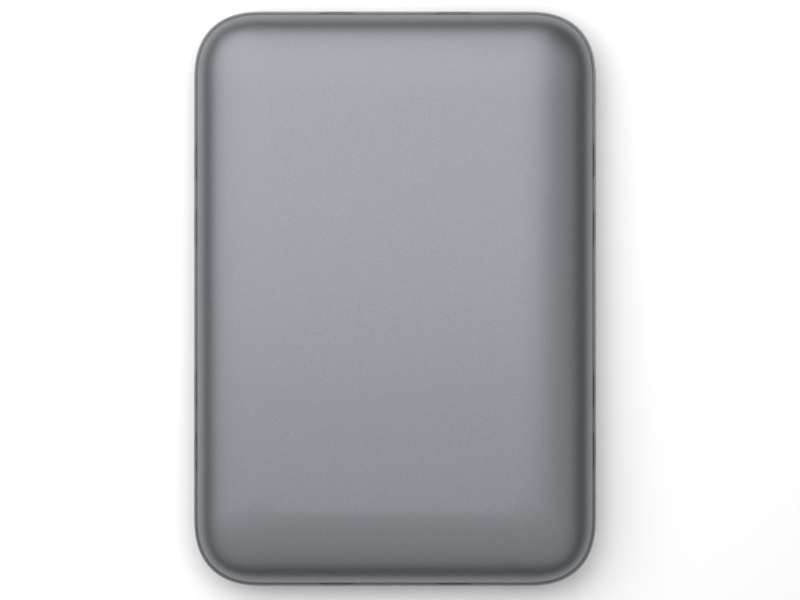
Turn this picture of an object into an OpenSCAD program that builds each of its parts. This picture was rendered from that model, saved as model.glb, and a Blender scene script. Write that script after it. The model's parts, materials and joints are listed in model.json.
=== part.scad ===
// Portable external hard drive. A snap-fit housing of two pillow-shaped shells holds a
// 2.5-inch disk drive in four rubber bumpers, with a bridge board between the disk and
// the socket in the end wall. It is sized from the inside out: the platters size the disk
// drive, and the disk drive and the socket size the housing.
// It lies flat on four feet. +Y is the socket end, and Z = 0 is the surface it lies on.

/* [Housing] */
// Room between each side of the disk drive and the outline of the housing
side_room = 5.825; // [5.2:0.025:9]
// Room between the disk drive's closed end and the end of the housing
closed_room = 5.25; // [4.5:0.05:9]
// Room between the disk drive's connector end and the other end of the housing
port_room = 10.9; // [10.9:0.1:14]
// Thickness of the foam pad between the disk drive and the top cover
pad_t = 2.9; // [1.5:0.1:6]
// How far the dome curves in from the outline before it is flat
dome_run = 16; // [13:0.5:22]
// How far the bottom cover curves in before it is flat
base_run = 9; // [7:0.5:10]
// Fullness of the bottom cover's curve, 2 is an ellipse
base_n = 3; // [2.6:0.1:4]
// Length of each rounded corner along the sides
corner = 14.2; // [11:0.1:15]
// Fullness of the corners, 2 is a circle
corner_n = 2.5; // [2.2:0.1:3.2]
// Wall of both covers
wall = 1.4; // [1.1:0.1:1.6]
// Thickness of the lip that stands up outside the seam
lip_t = 0.3; // [0.2:0.05:0.4]
// Height of that lip above the ledge
lip_h = 0.4; // [0.2:0.05:0.8]
// Width of the open seam between the lip and the dome
seam = 0.2; // [0.1:0.05:0.3]
// Thickness and height of the ribs inside both covers
rib_t = 0.8; // [0.6:0.1:1.2]
// Distance of the top cover's ribs from the middle
rib_x = 21; // [17:0.5:24]

/* [Snap hooks] */
// Width of each hook along the wall
hook_w = 5; // [3:0.5:6]
// Thickness of a hook
hook_t = 0.9; // [0.7:0.1:1.2]
// Reach of a hook below the ledge
hook_l = 2; // [1.8:0.1:2.6]
// How far a hook's barb stands out
barb = 0.5; // [0.3:0.05:0.6]
// Clearance between a hook and the bottom cover's wall
hook_gap = 0.3; // [0.25:0.05:0.4]
// Distance of each end hook from the middle
end_hook_x = 11.9; // [10.5:0.1:20]
// Distances of the side hooks from the closed end
closed_hook_in = [27.25, 39.75];
// Distances of the side hooks from the socket end
port_hook_in = [30.55, 43.95];

/* [Feet and bumpers] */
// Diameter of a foot
foot_d = 9; // [6:0.5:10]
// How far a foot stands out of the bottom cover
foot_proud = 0.5; // [0.3:0.1:1]
// Depth of the recess that a foot is stuck in
foot_sunk = 0.6; // [0.4:0.1:0.8]
// Distance of a foot's centre from the outline
foot_in = 16; // [15:0.5:22]
// Length of a rubber bumper
bumper_l = 12; // [8:0.5:14]
// Height of a rubber bumper
bumper_h = 4.4; // [3.6:0.1:5]
// Room between a bumper and the hooks beside it
bumper_gap = 0.525; // [0.3:0.025:0.8]

/* [Disk drive] */
// Platter's edge to the disk drive's side
platter_room = 2.425; // [2.2:0.025:4]
// Platter's edge to the disk drive's closed end
end_room = 3; // [2.4:0.1:5]
// Radius of the disk drive's corners
disk_corner = 2.5; // [2:0.1:4]
// Space under the disk drive
disk_gap = 1; // [0.8:0.1:1.6]
// Thickness of the casting's floor under the platters
floor_t = 1; // [0.8:0.05:1.1]
// Height of the casting's floor under the arms
deck_z = 1.6; // [1.5:0.05:1.8]
// Thickness of the casting's side walls
side_wall = 1.8; // [1.4:0.1:1.9]
// Thickness of the stamped lid's flange
lid_t = 0.3; // [0.2:0.05:0.4]
// Height of the lid's raised middle
lid_step = 0.2; // [0.15:0.05:0.4]
// Thickness of the lid's gasket
gasket_t = 0.3; // [0.2:0.05:0.4]
// Height of the side screw holes above the disk drive's underside
side_hole_z = 3; // [2.8:0.1:3.4]
// Distance of the back side screw holes from the connector end
side_hole_port_in = 14; // [13:0.25:15]
// Distance of the front side screw holes from the closed end
side_hole_closed_in = 9.75; // [9:0.25:11]
// Radius of the side screw holes
side_hole_r = 1.5; // [1.3:0.05:1.6]
// Distance of the lid screws from the disk drive's edges
lid_screw_in = 3; // [2.6:0.1:3.4]

/* [Platters and spindle] */
// Radius of a platter
platter_r = 32.5; // [30:0.5:36]
// Radius of a platter's bore
bore_r = 10.05; // [9.5:0.05:10.5]
// Thickness of a platter
platter_t = 0.6; // [0.5:0.05:0.9]
// Gap between the two platters
platter_gap = 1.4; // [1.3:0.05:1.8]
// How far the clamp reaches over the platter
clamp_over = 1.95; // [1.5:0.05:2.5]
// Running clearance round a platter's edge
edge_gap = 0.6; // [0.4:0.05:1]
// Radius of the spindle shaft
shaft_r = 1.25; // [1:0.05:1.5]
// Running clearance round the spindle shaft and the pivot
running = 0.03; // [0.01:0.01:0.1]
// Number of teeth on the motor's stator
teeth = 9; // [6:1:12]

/* [Actuator] */
// Distance of the pivot from the platter's edge
pivot_room = 12.5; // [11.5:0.1:14]
// Distance of the pivot from the disk drive's side
pivot_side = 19.925; // [19.7:0.025:22]
// Distance of the pivot from the disk drive's connector end
pivot_in = 22.424; // [22:0.004:25]
// How far the heads' arc stays from the spindle's axis
head_offset = 6.5; // [4:0.1:9]
// How far beyond the platter's edge the heads park
park_room = 2.5; // [2.2:0.1:2.8]
// How far outside the clamp the innermost track lies
track_room = 2; // [1.5:0.1:4]
// Thickness of the outer arms
arm_t = 0.45; // [0.35:0.05:0.6]
// Clearance under the lowest arm
arm_clear = 0.3; // [0.2:0.05:0.5]
// Clearance between the highest arm and the lid
lid_clear = 0.2; // [0.15:0.05:0.5]
// Thickness of a suspension's sheet
sheet_t = 0.1; // [0.05:0.01:0.12]
// Thickness of a head's slider
slider_t = 0.25; // [0.2:0.01:0.28]
// Space between a head and its platter
fly = 0.1; // [0.05:0.01:0.12]
// Direction of the voice coil at mid swing
coil_mid = 118; // [116:1:120]
// Half of the voice coil's angle
coil_half = 16; // [12:0.5:17]
// Inner radius of the voice coil
coil_in = 8; // [7.6:0.1:8.6]
// Outer radius of the voice coil
coil_out = 16.2; // [15:0.1:16.6]
// Width of the voice coil's winding
coil_wire = 2; // [1.6:0.1:2.4]
// Thickness of the voice coil
coil_t = 1.2; // [1:0.1:1.3]

/* [Bridge board] */
// Thickness of the bridge board
board_t = 1; // [0.8:0.1:1.1]
// Distance of the disk drive's connector from the disk drive's side
sata_side = 22.425; // [22:0.025:23]
// Width of the disk drive's connector
sata_w = 33.4; // [33:0.1:33.6]
// Inner width of the socket in the end wall
port_w = 12.2; // [11.8:0.1:12.6]
// Inner height of that socket
port_h = 1.9; // [1.7:0.05:2.2]
// Sheet thickness of its metal shell
port_t = 0.25; // [0.2:0.01:0.3]
// Depth of the socket
port_l = 5.5; // [5.3:0.1:5.8]
// How far the socket's mouth lies inside the housing's end
port_in = 0.35; // [0.2:0.05:0.5]
// Wall left between the socket's window and the top cover
port_roof = 0.2; // [0.2:0.05:1.5]
// Place of the activity light across the end wall
light_x = -17.5; // [-19:0.5:-16.5]
// Diameter of the light pipe
light_d = 1.8; // [1.4:0.1:2]

/* [Hidden] */

// Smoothness of round parts
$fn = 64;
// Steps round each corner of a cover, and up its curve
corner_steps = 14;
curve_steps = 12;
// Overcut that keeps two cut faces from coinciding
cut = 0.5;
// Seating gap between two pieces that are assembled loosely
seat = 0.3;
// Gap round a piece that is glued or pressed into another
snug = 0.05;

// Size of the disk drive across the platters, and places of its axes in it
disk_w = 2 * (platter_r + platter_room);
spindle_in = platter_r + end_room;
pivot_span = platter_r + pivot_room;
pivot_x = pivot_side - disk_w / 2;
pivot_ahead = sqrt(pivot_span ^ 2 - pivot_x ^ 2);
disk_l = spindle_in + pivot_ahead + pivot_in;

// Heights of the platters, arms, suspensions and sliders in the disk drive
stack = fly + slider_t + sheet_t;
platter_z = deck_z + arm_clear + arm_t + stack;
platter_zs = [platter_z, platter_z + platter_t + platter_gap];
platters_top = platter_zs[1] + platter_t;
arm_low = [platter_z - stack - arm_t, platter_z - stack];
arm_mid = [platter_z + platter_t + stack, platter_zs[1] - stack];
arm_high = [platters_top + stack, platters_top + stack + arm_t];
sheet_zs = [for (z = platter_zs, side = [-1, 1])
    side < 0 ? z - stack : z + platter_t + stack - sheet_t];
slider_zs = [for (z = platter_zs, side = [-1, 1])
    side < 0 ? z - fly - slider_t : z + platter_t + fly];
mid_z = (platter_z + platter_t + platter_zs[1]) / 2;
lid_z = arm_high[1] + lid_clear;
rim_z = lid_z - gasket_t;
disk_h = lid_z + lid_t + lid_step;

// Size of the housing round the disk drive and the socket
case_w = disk_w + 2 * side_room;
case_l = disk_l + closed_room + port_room;
base_h = wall + disk_gap + board_t + port_h + 2 * port_t + seat + port_roof;
dome_h = 2 * wall + disk_gap + disk_h + pad_t + seat - base_h;
ledge_z = foot_proud + base_h;
floor_top = foot_proud + wall;
ceiling_z = ledge_z + dome_h - wall;
dome_in = lip_t + seam;
side_hook_y = [for (d = closed_hook_in) d - case_l / 2, for (d = port_hook_in) case_l / 2 - d];

// Place of the disk drive
disk_z = floor_top + disk_gap;
disk_y1 = case_l / 2 - port_room;
disk_y0 = disk_y1 - disk_l;
disk_mid_y = (disk_y0 + disk_y1) / 2;
side_hole_y = [disk_y0 + side_hole_closed_in, disk_y1 - side_hole_port_in];

// Places of the spindle and the pivot, and the directions of the arms
spindle = [0, disk_y0 + spindle_in];
pivot = [pivot_x, spindle.y + pivot_ahead];
head_reach = pivot_span - head_offset;
clamp_r = bore_r + clamp_over;
spindle_dir = atan2(spindle.y - pivot.y, spindle.x - pivot.x);
function arm_turn(r) =
    acos((pivot_span ^ 2 + head_reach ^ 2 - r ^ 2) / (2 * pivot_span * head_reach));
park_dir = spindle_dir + arm_turn(platter_r + park_room);
swing = arm_turn(platter_r + park_room) - arm_turn(clamp_r + track_room);
coil_dir = coil_mid + swing / 2;

// Arms and their hub
hub_r = 5.6;
sleeve_r = 3.7;
post_r = 1.6;
tip_half = 2.2;
arm_tip = head_reach - 11;
sheet_from = arm_tip - 4.5;
tab_reach = head_reach + 3.5;
tab_half = 0.3;
arm_taper = 4.2;

// Load ramp that the lift tabs ride up on
ramp_dir = park_dir - 1.2;
ramp_half = 4.2;
ramp_reach = [tab_reach + 1, tab_reach + 3.5];
ramp_room = 0.9;

// Casting
cavity_r = platter_r + edge_gap;
yoke_r = coil_out + 2.3;
motor_zone_r = yoke_r + 0.4;
bay_x = pivot.x + ramp_reach[1] * cos(ramp_dir + ramp_half) + ramp_room;
bay_y = [spindle.y + platter_r - 13, disk_y1 - 8.85];
shelf_size = [27, 13];
shelf = [bay_x - shelf_size.x, bay_y[1] - shelf_size.y];
shelf_z = 3;
chip_ceiling = 2.2;
chip_margin = 1;
pocket_y = spindle.y + cavity_r + 1.4;
pocket_h = 1;
drive_board_t = 0.8;
notch_y = disk_y1 - 6.05;
notch_h = 4.9;
lid_screw_r = 0.75;
screw_hole_r = 0.8;
screw_l = 3.2;
lid_screw_spots = [for (x = [-1, 1],
    y = [disk_y0 + lid_screw_in, spindle.y + platter_r - 4.5, disk_y1 - lid_screw_in])
    [x * (disk_w / 2 - lid_screw_in), y]];
board_screw_in = [4.425, 4.05];
board_screw_x = disk_w / 2 - board_screw_in.x;
board_screw_spots = [[-board_screw_x, pocket_y + board_screw_in.y],
    [board_screw_x, pocket_y + board_screw_in.y], [-board_screw_x, disk_y1 - 4.6]];
board_screw_r = 0.55;

// Voice coil motor. The stops stand where the coil's sides reach them at each end of the swing.
magnet_in = coil_in + 1.4;
magnet_half = 29;
magnet_t = 0.8;
yoke_t = 0.7;
stop_r = 1.9;
stop_post_r = 1.3;
stop_reach = coil_out + seat;
stop_half = swing / 2 + coil_half + asin((stop_r + seat) / stop_reach);
yoke_half = stop_half + asin(stop_post_r / stop_reach);
yoke_top_z = lid_z - 0.15 - yoke_t;

// Spindle motor
sleeve_out = 2.9;
hub_wall = 0.8;
hub_out = bore_r - snug;
hub_skirt_in = hub_out - hub_wall;
stator_z = floor_t + 0.5;
stator_t = 1.2;
magnet_w = 1.45;
stator_r = hub_skirt_in - snug - magnet_w - seat;

// Bridge board
sata_x = disk_w / 2 - sata_side;
board_z = disk_z;
board_x = [light_x - 6.5, sata_x + sata_w / 2 + 1.8];
board_y = [disk_y1 + 0.65, case_l / 2 - wall - 1.85];
board_top = board_z + board_t;
port_end = case_l / 2 - port_in;
port_z = board_top + port_t;
chip_row_y = board_y[0] + 2.8;
post_spots = [[board_x[0] + 2.5, board_y[0] + 2.5], [board_x[1] - 2.4, board_y[1] - 1.9]];
peg_r = 0.8;
light_z = board_top + light_d / 2 + 0.1;
lamp = [1.6, 1.1];

// Bumpers
bumper_t = side_room - wall - hook_gap - hook_t - bumper_gap;
bumper_z = disk_z + side_hole_z - bumper_h / 2;

// Blades of the disk drive's connector: thickness, key, and height over the drive's board
blade_t = 1.2;
key_w = 1.1;
key_h = 1.5;
blade_z = 1.9;

// Spindle's flange and clamp, and the motor's teeth
flange_r = bore_r + 1.6;
clamp_t = 0.4;
clamp_screw_r = 0.75;
clamp_screw_l = 1.7;
tooth_w = 1.1;

// Corner outline of the housing, moved in by d. The corners shrink as they move in.
function outline(d) =
    let (c = corner * exp(-d / corner), x = case_w / 2 - d - c, y = case_l / 2 - d - c)
    [for (quarter = [0 : 3], k = [0 : corner_steps])
        let (a = 90 * k / corner_steps,
            u = c * pow(cos(a), 2 / corner_n), v = c * pow(sin(a), 2 / corner_n))
        quarter == 0 ? [x + u, y + v] : quarter == 1 ? [-x - v, y + u]
        : quarter == 2 ? [-x - u, -y - v] : [x + v, -y - u]];

// One point of a cover's curved section: inset from the outline, and height over the ledge.
// t runs from 0 at the rim to 90 at the flat, and skin is the depth below the outside.
function curve_point(t, start, run, rise, n, skin) =
    let (u = pow(cos(t), 2 / n), v = pow(sin(t), 2 / n),
        nx = pow(u, n - 1) / (run - start), nz = pow(v, n - 1) / rise, m = norm([nx, nz]))
    [run - (run - start) * u + skin * nx / m, rise * v - skin * nz / m];

function curve(start, run, rise, n, skin) =
    [for (i = [0 : curve_steps])
        curve_point(90 * i / curve_steps, start, run, rise, n, skin)];
function flip(list) = [for (i = [len(list) - 1 : -1 : 0]) list[i]];
function up(list) = [for (p = list) [p.x, ledge_z + p.y]];
function down(list) = [for (p = list) [p.x, ledge_z - p.y]];

// Closed shell through two runs of rings, each ring an outline at an inset and a height.
// The first run ends and the second starts at a flat cap, and their free ends meet.
module shell(first, second) {
    rings = concat(first, second);
    n = 4 * (corner_steps + 1);
    m = len(rings);
    cap = len(first) - 1;
    points = [for (r = rings, p = outline(r.x)) [p.x, p.y, r.y]];
    walls = [for (i = [0 : m - 1], j = [0 : n - 1], half = [0, 1]) if (i != cap)
        let (a = i * n + j, b = i * n + (j + 1) % n,
            c = ((i + 1) % m) * n + (j + 1) % n, d = ((i + 1) % m) * n + j)
        half == 0 ? [a, d, c] : [a, c, b]];
    caps = [[for (j = [n - 1 : -1 : 0]) cap * n + j], [for (j = [0 : n - 1]) (cap + 1) * n + j]];
    polyhedron(points, concat(walls, caps));
}

// Flat rectangle with true arcs at its corners
module rounded(w, l, r) {
    square([w - 2 * r, l], center = true);
    square([w, l - 2 * r], center = true);
    for (x = [-1, 1], y = [-1, 1]) translate([x * (w / 2 - r), y * (l / 2 - r)]) circle(r);
}

// Flat ring sector between two radii, as far as half to each side of direction dir
module sector(r0, r1, dir, half) {
    far = 2 * r1;
    intersection() {
        difference() {
            circle(r1);
            circle(r0);
        }
        polygon([[0, 0], for (a = [-half, -half / 2, 0, half / 2, half])
            far * [cos(dir + a), sin(dir + a)]]);
    }
}

module ring(r0, r1, h) {
    difference() {
        cylinder(r = r1, h = h);
        translate([0, 0, -cut]) cylinder(r = r0, h = h + 2 * cut);
    }
}

// Places of the hooks: local +X points out of the wall, with the origin on the outline
module hook_places() {
    for (s = [-1, 1]) {
        for (y = side_hook_y) translate([s * case_w / 2, y, ledge_z]) rotate(90 - 90 * s) children();
        for (x = [-end_hook_x, end_hook_x])
            translate([x, s * case_l / 2, ledge_z]) rotate(90 * s) children();
    }
}

module in_disk() {
    translate([0, 0, disk_z]) children();
}

module at_spindle() {
    in_disk() translate(spindle) children();
}

module at_pivot() {
    in_disk() translate(pivot) children();
}

module top_cover() {
    color([0.66, 0.67, 0.69]) {
        shell(up(curve(dome_in, dome_run, dome_h, 2, 0)),
            up(flip(curve(dome_in, dome_run, dome_h, 2, wall))));
        hook_places() hook();
        for (x = [-rib_x, rib_x])
            translate([x - rib_t / 2, -case_l / 4, ceiling_z - rib_t])
                cube([rib_t, case_l / 2, rib_t + wall / 2]);
    }
}

module hook() {
    root = wall + hook_gap;
    root_h = wall + 0.1;
    barb_h = 0.7;
    land = 0.1;
    rotate([90, 0, 0]) linear_extrude(hook_w, center = true) polygon([
        [-root - hook_t, -hook_l], [-root, -hook_l], [barb - root, barb_h - land - hook_l],
        [barb - root, barb_h - hook_l], [-root, barb_h - hook_l], [-root, root_h],
        [-root - hook_t, root_h]]);
}

module bottom_cover() {
    rib_y = [for (k = [-1, 0, 1]) disk_mid_y + k * disk_l / 4];
    ledge_w = bumper_t - 0.7;
    light_hole_r = light_d / 2 + snug;
    window_r = 0.6;
    pocket_h = 1;
    pocket_low = hook_l + 0.15;
    pocket_in = hook_gap + wall - barb - 0.1;
    color([0.62, 0.63, 0.65]) difference() {
        union() {
            shell(down(curve(0, base_run, base_h, base_n, wall)),
                concat(down(flip(curve(0, base_run, base_h, base_n, 0))),
                    [[0, ledge_z + lip_h - lip_t / 3], [lip_t / 3, ledge_z + lip_h],
                    [lip_t, ledge_z + lip_h], [lip_t, ledge_z]]));
            for (y = rib_y) translate([-disk_w / 4, y - rib_t / 2, floor_top - wall / 2])
                cube([disk_w / 2, rib_t, wall / 2 + disk_gap - seat]);
            for (s = [-1, 1], y = side_hole_y)
                translate([s * (disk_w / 2 + ledge_w / 2 + snug), y, floor_top - wall / 2])
                    translate([-ledge_w / 2, -bumper_l / 3, 0])
                        cube([ledge_w, bumper_l * 2 / 3, bumper_z - floor_top + wall / 2]);
            for (p = post_spots) translate([p.x, p.y, floor_top - wall / 2]) {
                cylinder(r = 2 * peg_r, h = board_z - floor_top + wall / 2);
                cylinder(r = peg_r, h = board_z - floor_top + wall / 2 + board_t);
            }
        }
        for (x = [-1, 1], y = [-1, 1])
            translate([x * (case_w / 2 - foot_in), y * (case_l / 2 - foot_in), foot_proud - cut])
                cylinder(d = foot_d + 2 * snug, h = foot_sunk + cut);
        hook_places() translate([-wall - cut, -hook_w / 2 - seat, -pocket_low])
            cube([wall + cut - pocket_in, hook_w + 2 * seat, pocket_h]);
        translate([0, case_l / 2, port_z + port_h / 2]) rotate([90, 0, 0])
            linear_extrude(4 * wall, center = true)
                rounded(port_w + 2 * port_t + 2 * seat, port_h + 2 * port_t + 2 * seat, window_r);
        translate([light_x, case_l / 2 - 2 * wall, light_z]) rotate([-90, 0, 0])
            cylinder(r = light_hole_r, h = 4 * wall);
    }
}

module foot(x, y) {
    chamfer = 0.3;
    color([0.16, 0.16, 0.17])
        translate([x * (case_w / 2 - foot_in), y * (case_l / 2 - foot_in), 0]) {
            cylinder(d1 = foot_d - 2 * chamfer, d2 = foot_d, h = foot_proud / 2);
            translate([0, 0, foot_proud / 2]) cylinder(d = foot_d, h = foot_sunk + foot_proud / 2);
        }
}

module foot_front_left() foot(-1, -1);
module foot_front_right() foot(1, -1);
module foot_back_left() foot(-1, 1);
module foot_back_right() foot(1, 1);

// Rubber block against the disk drive's side, with a stud in the side screw hole
module bumper(side, y) {
    stud_l = side_wall - 2 * seat;
    color([0.2, 0.2, 0.21]) translate([side * disk_w / 2, y, bumper_z]) {
        rotate(90 - 90 * side) {
            translate([bumper_t / 2, 0, 0]) linear_extrude(bumper_h) rounded(bumper_t, bumper_l, 1);
            translate([-stud_l, 0, bumper_h / 2]) rotate([0, 90, 0])
                cylinder(r = side_hole_r - snug, h = stud_l + bumper_t / 2);
        }
    }
}

module bumper_front_left() bumper(-1, side_hole_y[0]);
module bumper_front_right() bumper(1, side_hole_y[0]);
module bumper_back_left() bumper(-1, side_hole_y[1]);
module bumper_back_right() bumper(1, side_hole_y[1]);

module foam_pad() {
    pad_w = 32;
    pad_l = 52;
    color([0.28, 0.28, 0.3]) translate([0, disk_mid_y, disk_z + disk_h])
        linear_extrude(ceiling_z - seat - disk_z - disk_h) rounded(pad_w, pad_l, 3);
}

module bridge_board() {
    color([0.05, 0.32, 0.2]) difference() {
        translate([board_x[0], board_y[0], board_z])
            cube([board_x[1] - board_x[0], board_y[1] - board_y[0], board_t]);
        for (p = post_spots) translate([p.x, p.y, board_z - cut])
            cylinder(r = peg_r + snug, h = board_t + 2 * cut);
    }
}

// Outline of one half of the disk drive's connector tongue: a blade with its key
module blade(w, key) {
    translate([0, -blade_t / 2]) square([w, blade_t]);
    translate([key, -key_h]) square([key_w, key_h]);
}

// The power blade and the signal blade, side by side, looking at the connector's mouth
module blades(grow) {
    margin = 2.05;
    signal_w = 6.1;
    between = 2.6;
    power_w = sata_w - 2 * margin - signal_w - between;
    translate([-sata_w / 2 + margin, 0]) {
        spread(grow) blade(power_w, 0);
        translate([power_w + between, 0]) spread(grow) blade(signal_w, signal_w - key_w);
    }
}

// Grows a blade by drawing it at four shifted places, so that its edges stay straight
module spread(grow) {
    for (x = [-grow, grow], y = [-grow, grow]) translate([x, y]) children();
}

module bridge_receptacle() {
    nose_l = 3.6;
    body_h = 4.4;
    body_over = 0.4;
    body_short = 3.2;
    mouth = [sata_w - 2.4, 3.2];
    nose_z = disk_z + drive_board_t + blade_z;
    color([0.1, 0.1, 0.11]) difference() {
        union() {
            translate([sata_x - sata_w / 2 - body_over, board_y[0], board_top])
                cube([sata_w + 2 * body_over, board_y[1] - board_y[0] - body_short, body_h]);
            translate([sata_x - mouth.x / 2, disk_y1 - nose_l, nose_z - mouth.y / 2])
                cube([mouth.x, nose_l + 1, mouth.y]);
        }
        translate([sata_x, disk_y1 + body_over, nose_z]) rotate([90, 0, 0])
            linear_extrude(nose_l + cut + body_over) blades(seat / 2);
    }
}

// Half of the socket's outline in its own plane, as a box with two slanted lower corners
module lobe(x0, x1, slant, grow) {
    polygon([[x0 - grow, port_h + grow], [x0 - grow, slant - 0.4 * grow],
        [x0 + slant - 0.4 * grow, -grow], [x1 - slant + 0.4 * grow, -grow],
        [x1 + grow, slant - 0.4 * grow], [x1 + grow, port_h + grow]]);
}

// The socket's outline: a wide lobe, a narrow lobe and the neck that joins them
module port_outline(grow) {
    lobe(-port_w / 2, 0.9, 0.5, grow);
    lobe(2, port_w / 2, 0.35, grow);
    translate([0.5, 0.8 - grow]) square([2, port_h - 0.8 + 2 * grow]);
}

module port_frame() {
    translate([0, port_end, port_z]) rotate([90, 0, 0]) mirror([1, 0, 0]) children();
}

module port_shell() {
    color([0.75, 0.76, 0.78]) port_frame() difference() {
        linear_extrude(port_l) port_outline(port_t);
        translate([0, 0, -cut]) linear_extrude(port_l + 2 * cut) port_outline(0);
    }
}

module port_tongue() {
    back = 1.6;
    tongue_t = 0.6;
    color([0.12, 0.12, 0.13]) port_frame() {
        translate([0, 0, port_l - back]) linear_extrude(back) port_outline(-snug);
        for (lobe = [[-5.1, 5], [2.9, 2.4]])
            translate([lobe[0], port_h - 0.45 - tongue_t, 1]) cube([lobe[1], tongue_t, port_l - back]);
    }
}

module port_contacts() {
    pitch = [0.9, 0.45];
    contact = [0.28, 0.08, 2.6];
    color([0.85, 0.68, 0.3]) port_frame()
        for (row = [[-4.4, pitch[0]], [3.1, pitch[1]]], k = [0 : 4])
            translate([row[0] + k * row[1], port_h - 1.05 - contact.y, 1.1]) cube([
                row[1] < 0.5 ? 0.2 : contact.x, contact.y, contact.z]);
}

// Leadless chip with a step where its lid meets its base
module chip(w, l, h) {
    translate([-w / 2, -l / 2, 0]) cube([w, l, h * 0.6]);
    translate([-w / 2 + 0.3, -l / 2 + 0.3, 0]) cube([w - 0.6, l - 0.6, h]);
}

module bridge_chip() {
    color([0.12, 0.12, 0.13]) translate([sata_x - sata_w / 2 + 6.2, chip_row_y, board_z]) rotate([180, 0, 0])
        chip(5, 5, disk_gap - seat);
}

module memory_chip() {
    color([0.13, 0.13, 0.14]) translate([light_x + 7.9, chip_row_y, board_top]) chip(5, 4, 1.2);
}

module bridge_crystal() {
    color([0.8, 0.8, 0.78]) translate([light_x + 2.9, chip_row_y, board_top])
        linear_extrude(0.8) rounded(3.2, 2.5, 0.4);
}

module power_inductor() {
    size = 3;
    plate_t = 0.4;
    plate_z = 1.2;
    color([0.25, 0.25, 0.26]) translate([light_x - 0.9, chip_row_y - 0.2, board_top]) {
        translate([-size / 2, -size / 2, 0]) cube([size, size, plate_t]);
        cylinder(r = 0.4 * size, h = plate_z + plate_t / 2);
        translate([0, 0, plate_z]) linear_extrude(plate_t) rounded(size, size, size / 6);
    }
}

module activity_lamp() {
    color([0.95, 0.95, 0.9]) translate([light_x - lamp.x / 2, board_y[1] - 0.2 - lamp.y, board_top])
        cube([lamp.x, lamp.y, 2 * (light_z - board_top)]);
}

module light_pipe() {
    collar = 0.5;
    start = board_y[1] + 0.1;
    color([0.9, 0.92, 0.95]) translate([light_x, start, light_z]) rotate([-90, 0, 0]) {
        cylinder(d = light_d, h = case_l / 2 - port_in - start);
        cylinder(d = light_d + collar, h = collar);
    }
}

module disk_outline(inset) {
    translate([0, disk_mid_y])
        rounded(disk_w - 2 * inset, disk_l - 2 * inset, disk_corner - inset);
}

// Space round the coil, the pivot and the swinging arms, above the deck
module arm_space() {
    intersection() {
        translate(pivot) circle(motor_zone_r);
        translate([-disk_w / 2 + side_wall, disk_y0]) square([disk_w, disk_l]);
    }
    difference() {
        translate([pivot_x, bay_y[0]]) square([bay_x - pivot_x, bay_y[1] - bay_y[0]]);
        shelf_space();
    }
}

// The bay over the chips has a higher floor
module shelf_space() {
    translate([shelf.x, shelf.y]) square([bay_x - shelf.x, bay_y[1] - shelf.y]);
}

// Recess for the drive's own board, in the underside
module board_space(inset) {
    end = disk_y1 - 1.1;
    translate([0, (pocket_y + end) / 2])
        rounded(disk_w - 2 * side_wall - 2 * inset, end - pocket_y - 2 * inset, 1.5);
}

module disk_base() {
    boss_r = 2.2;
    seat_r = 4.3;
    seat_step = 1.1;
    thread_r = board_screw_r + snug;
    thread_l = 1.3;
    color([0.7, 0.71, 0.72]) in_disk() difference() {
        union() {
            difference() {
                linear_extrude(rim_z) disk_outline(0);
                translate([0, 0, floor_t]) linear_extrude(disk_h) translate(spindle) circle(cavity_r);
                translate([0, 0, deck_z]) linear_extrude(disk_h) arm_space();
                translate([0, 0, shelf_z]) linear_extrude(disk_h) shelf_space();
                translate([0, 0, -cut]) linear_extrude(cut + pocket_h) board_space(0);
                translate([0, 0, -cut]) linear_extrude(cut + chip_ceiling)
                    translate([shelf.x + chip_margin, shelf.y + chip_margin])
                        square([shelf_size.x - chip_margin, shelf_size.y - chip_margin]);
                translate([sata_x - sata_w / 2 - seat, notch_y, -cut])
                    cube([sata_w + 2 * seat, disk_l, notch_h + cut]);
            }
            for (p = board_screw_spots) translate([p.x, p.y, drive_board_t])
                cylinder(r = boss_r, h = deck_z - drive_board_t);
            translate(spindle) cylinder(r = seat_r, h = stator_z);
            translate(spindle) cylinder(r = seat_r - seat_step, h = stator_z + stator_t / 2);
        }
        translate([spindle.x, spindle.y, -cut]) cylinder(r = sleeve_out + snug, h = disk_h);
        for (p = lid_screw_spots) translate([p.x, p.y, lid_z - screw_l - cut])
            cylinder(r = screw_hole_r, h = disk_h);
        for (p = board_screw_spots) translate([p.x, p.y, -cut]) cylinder(r = thread_r, h = cut + thread_l);
        for (s = [-1, 1], y = side_hole_y)
            translate([s * (disk_w / 2 + cut), y, side_hole_z]) rotate([0, -90 * s, 0])
                cylinder(r = side_hole_r, h = cut + side_wall - 0.5);
    }
}

module disk_lid() {
    flange = 4;
    inset = 0.2;
    step_r = 5;
    scallop_r = 2.6;
    vent = [20, -20];
    vent_r = 0.6;
    color([0.78, 0.79, 0.8]) in_disk() translate([0, 0, lid_z]) difference() {
        union() {
            linear_extrude(lid_t) disk_outline(inset);
            translate([0, 0, lid_t]) linear_extrude(lid_step) difference() {
                translate([0, disk_mid_y])
                    rounded(disk_w - 2 * flange, disk_l - 2 * flange, step_r);
                for (p = lid_screw_spots) translate(p) circle(scallop_r);
            }
        }
        for (p = lid_screw_spots) translate([p.x, p.y, -cut])
            cylinder(r = screw_hole_r + snug, h = disk_h);
        translate([spindle.x + vent.x, spindle.y + vent.y, -cut]) cylinder(r = vent_r, h = disk_h);
    }
}

module lid_gasket() {
    edge = 0.5;
    band = 0.9;
    color([0.15, 0.15, 0.16]) in_disk() translate([0, 0, rim_z]) linear_extrude(gasket_t)
        difference() {
            disk_outline(edge);
            disk_outline(edge + band);
        }
}

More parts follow.
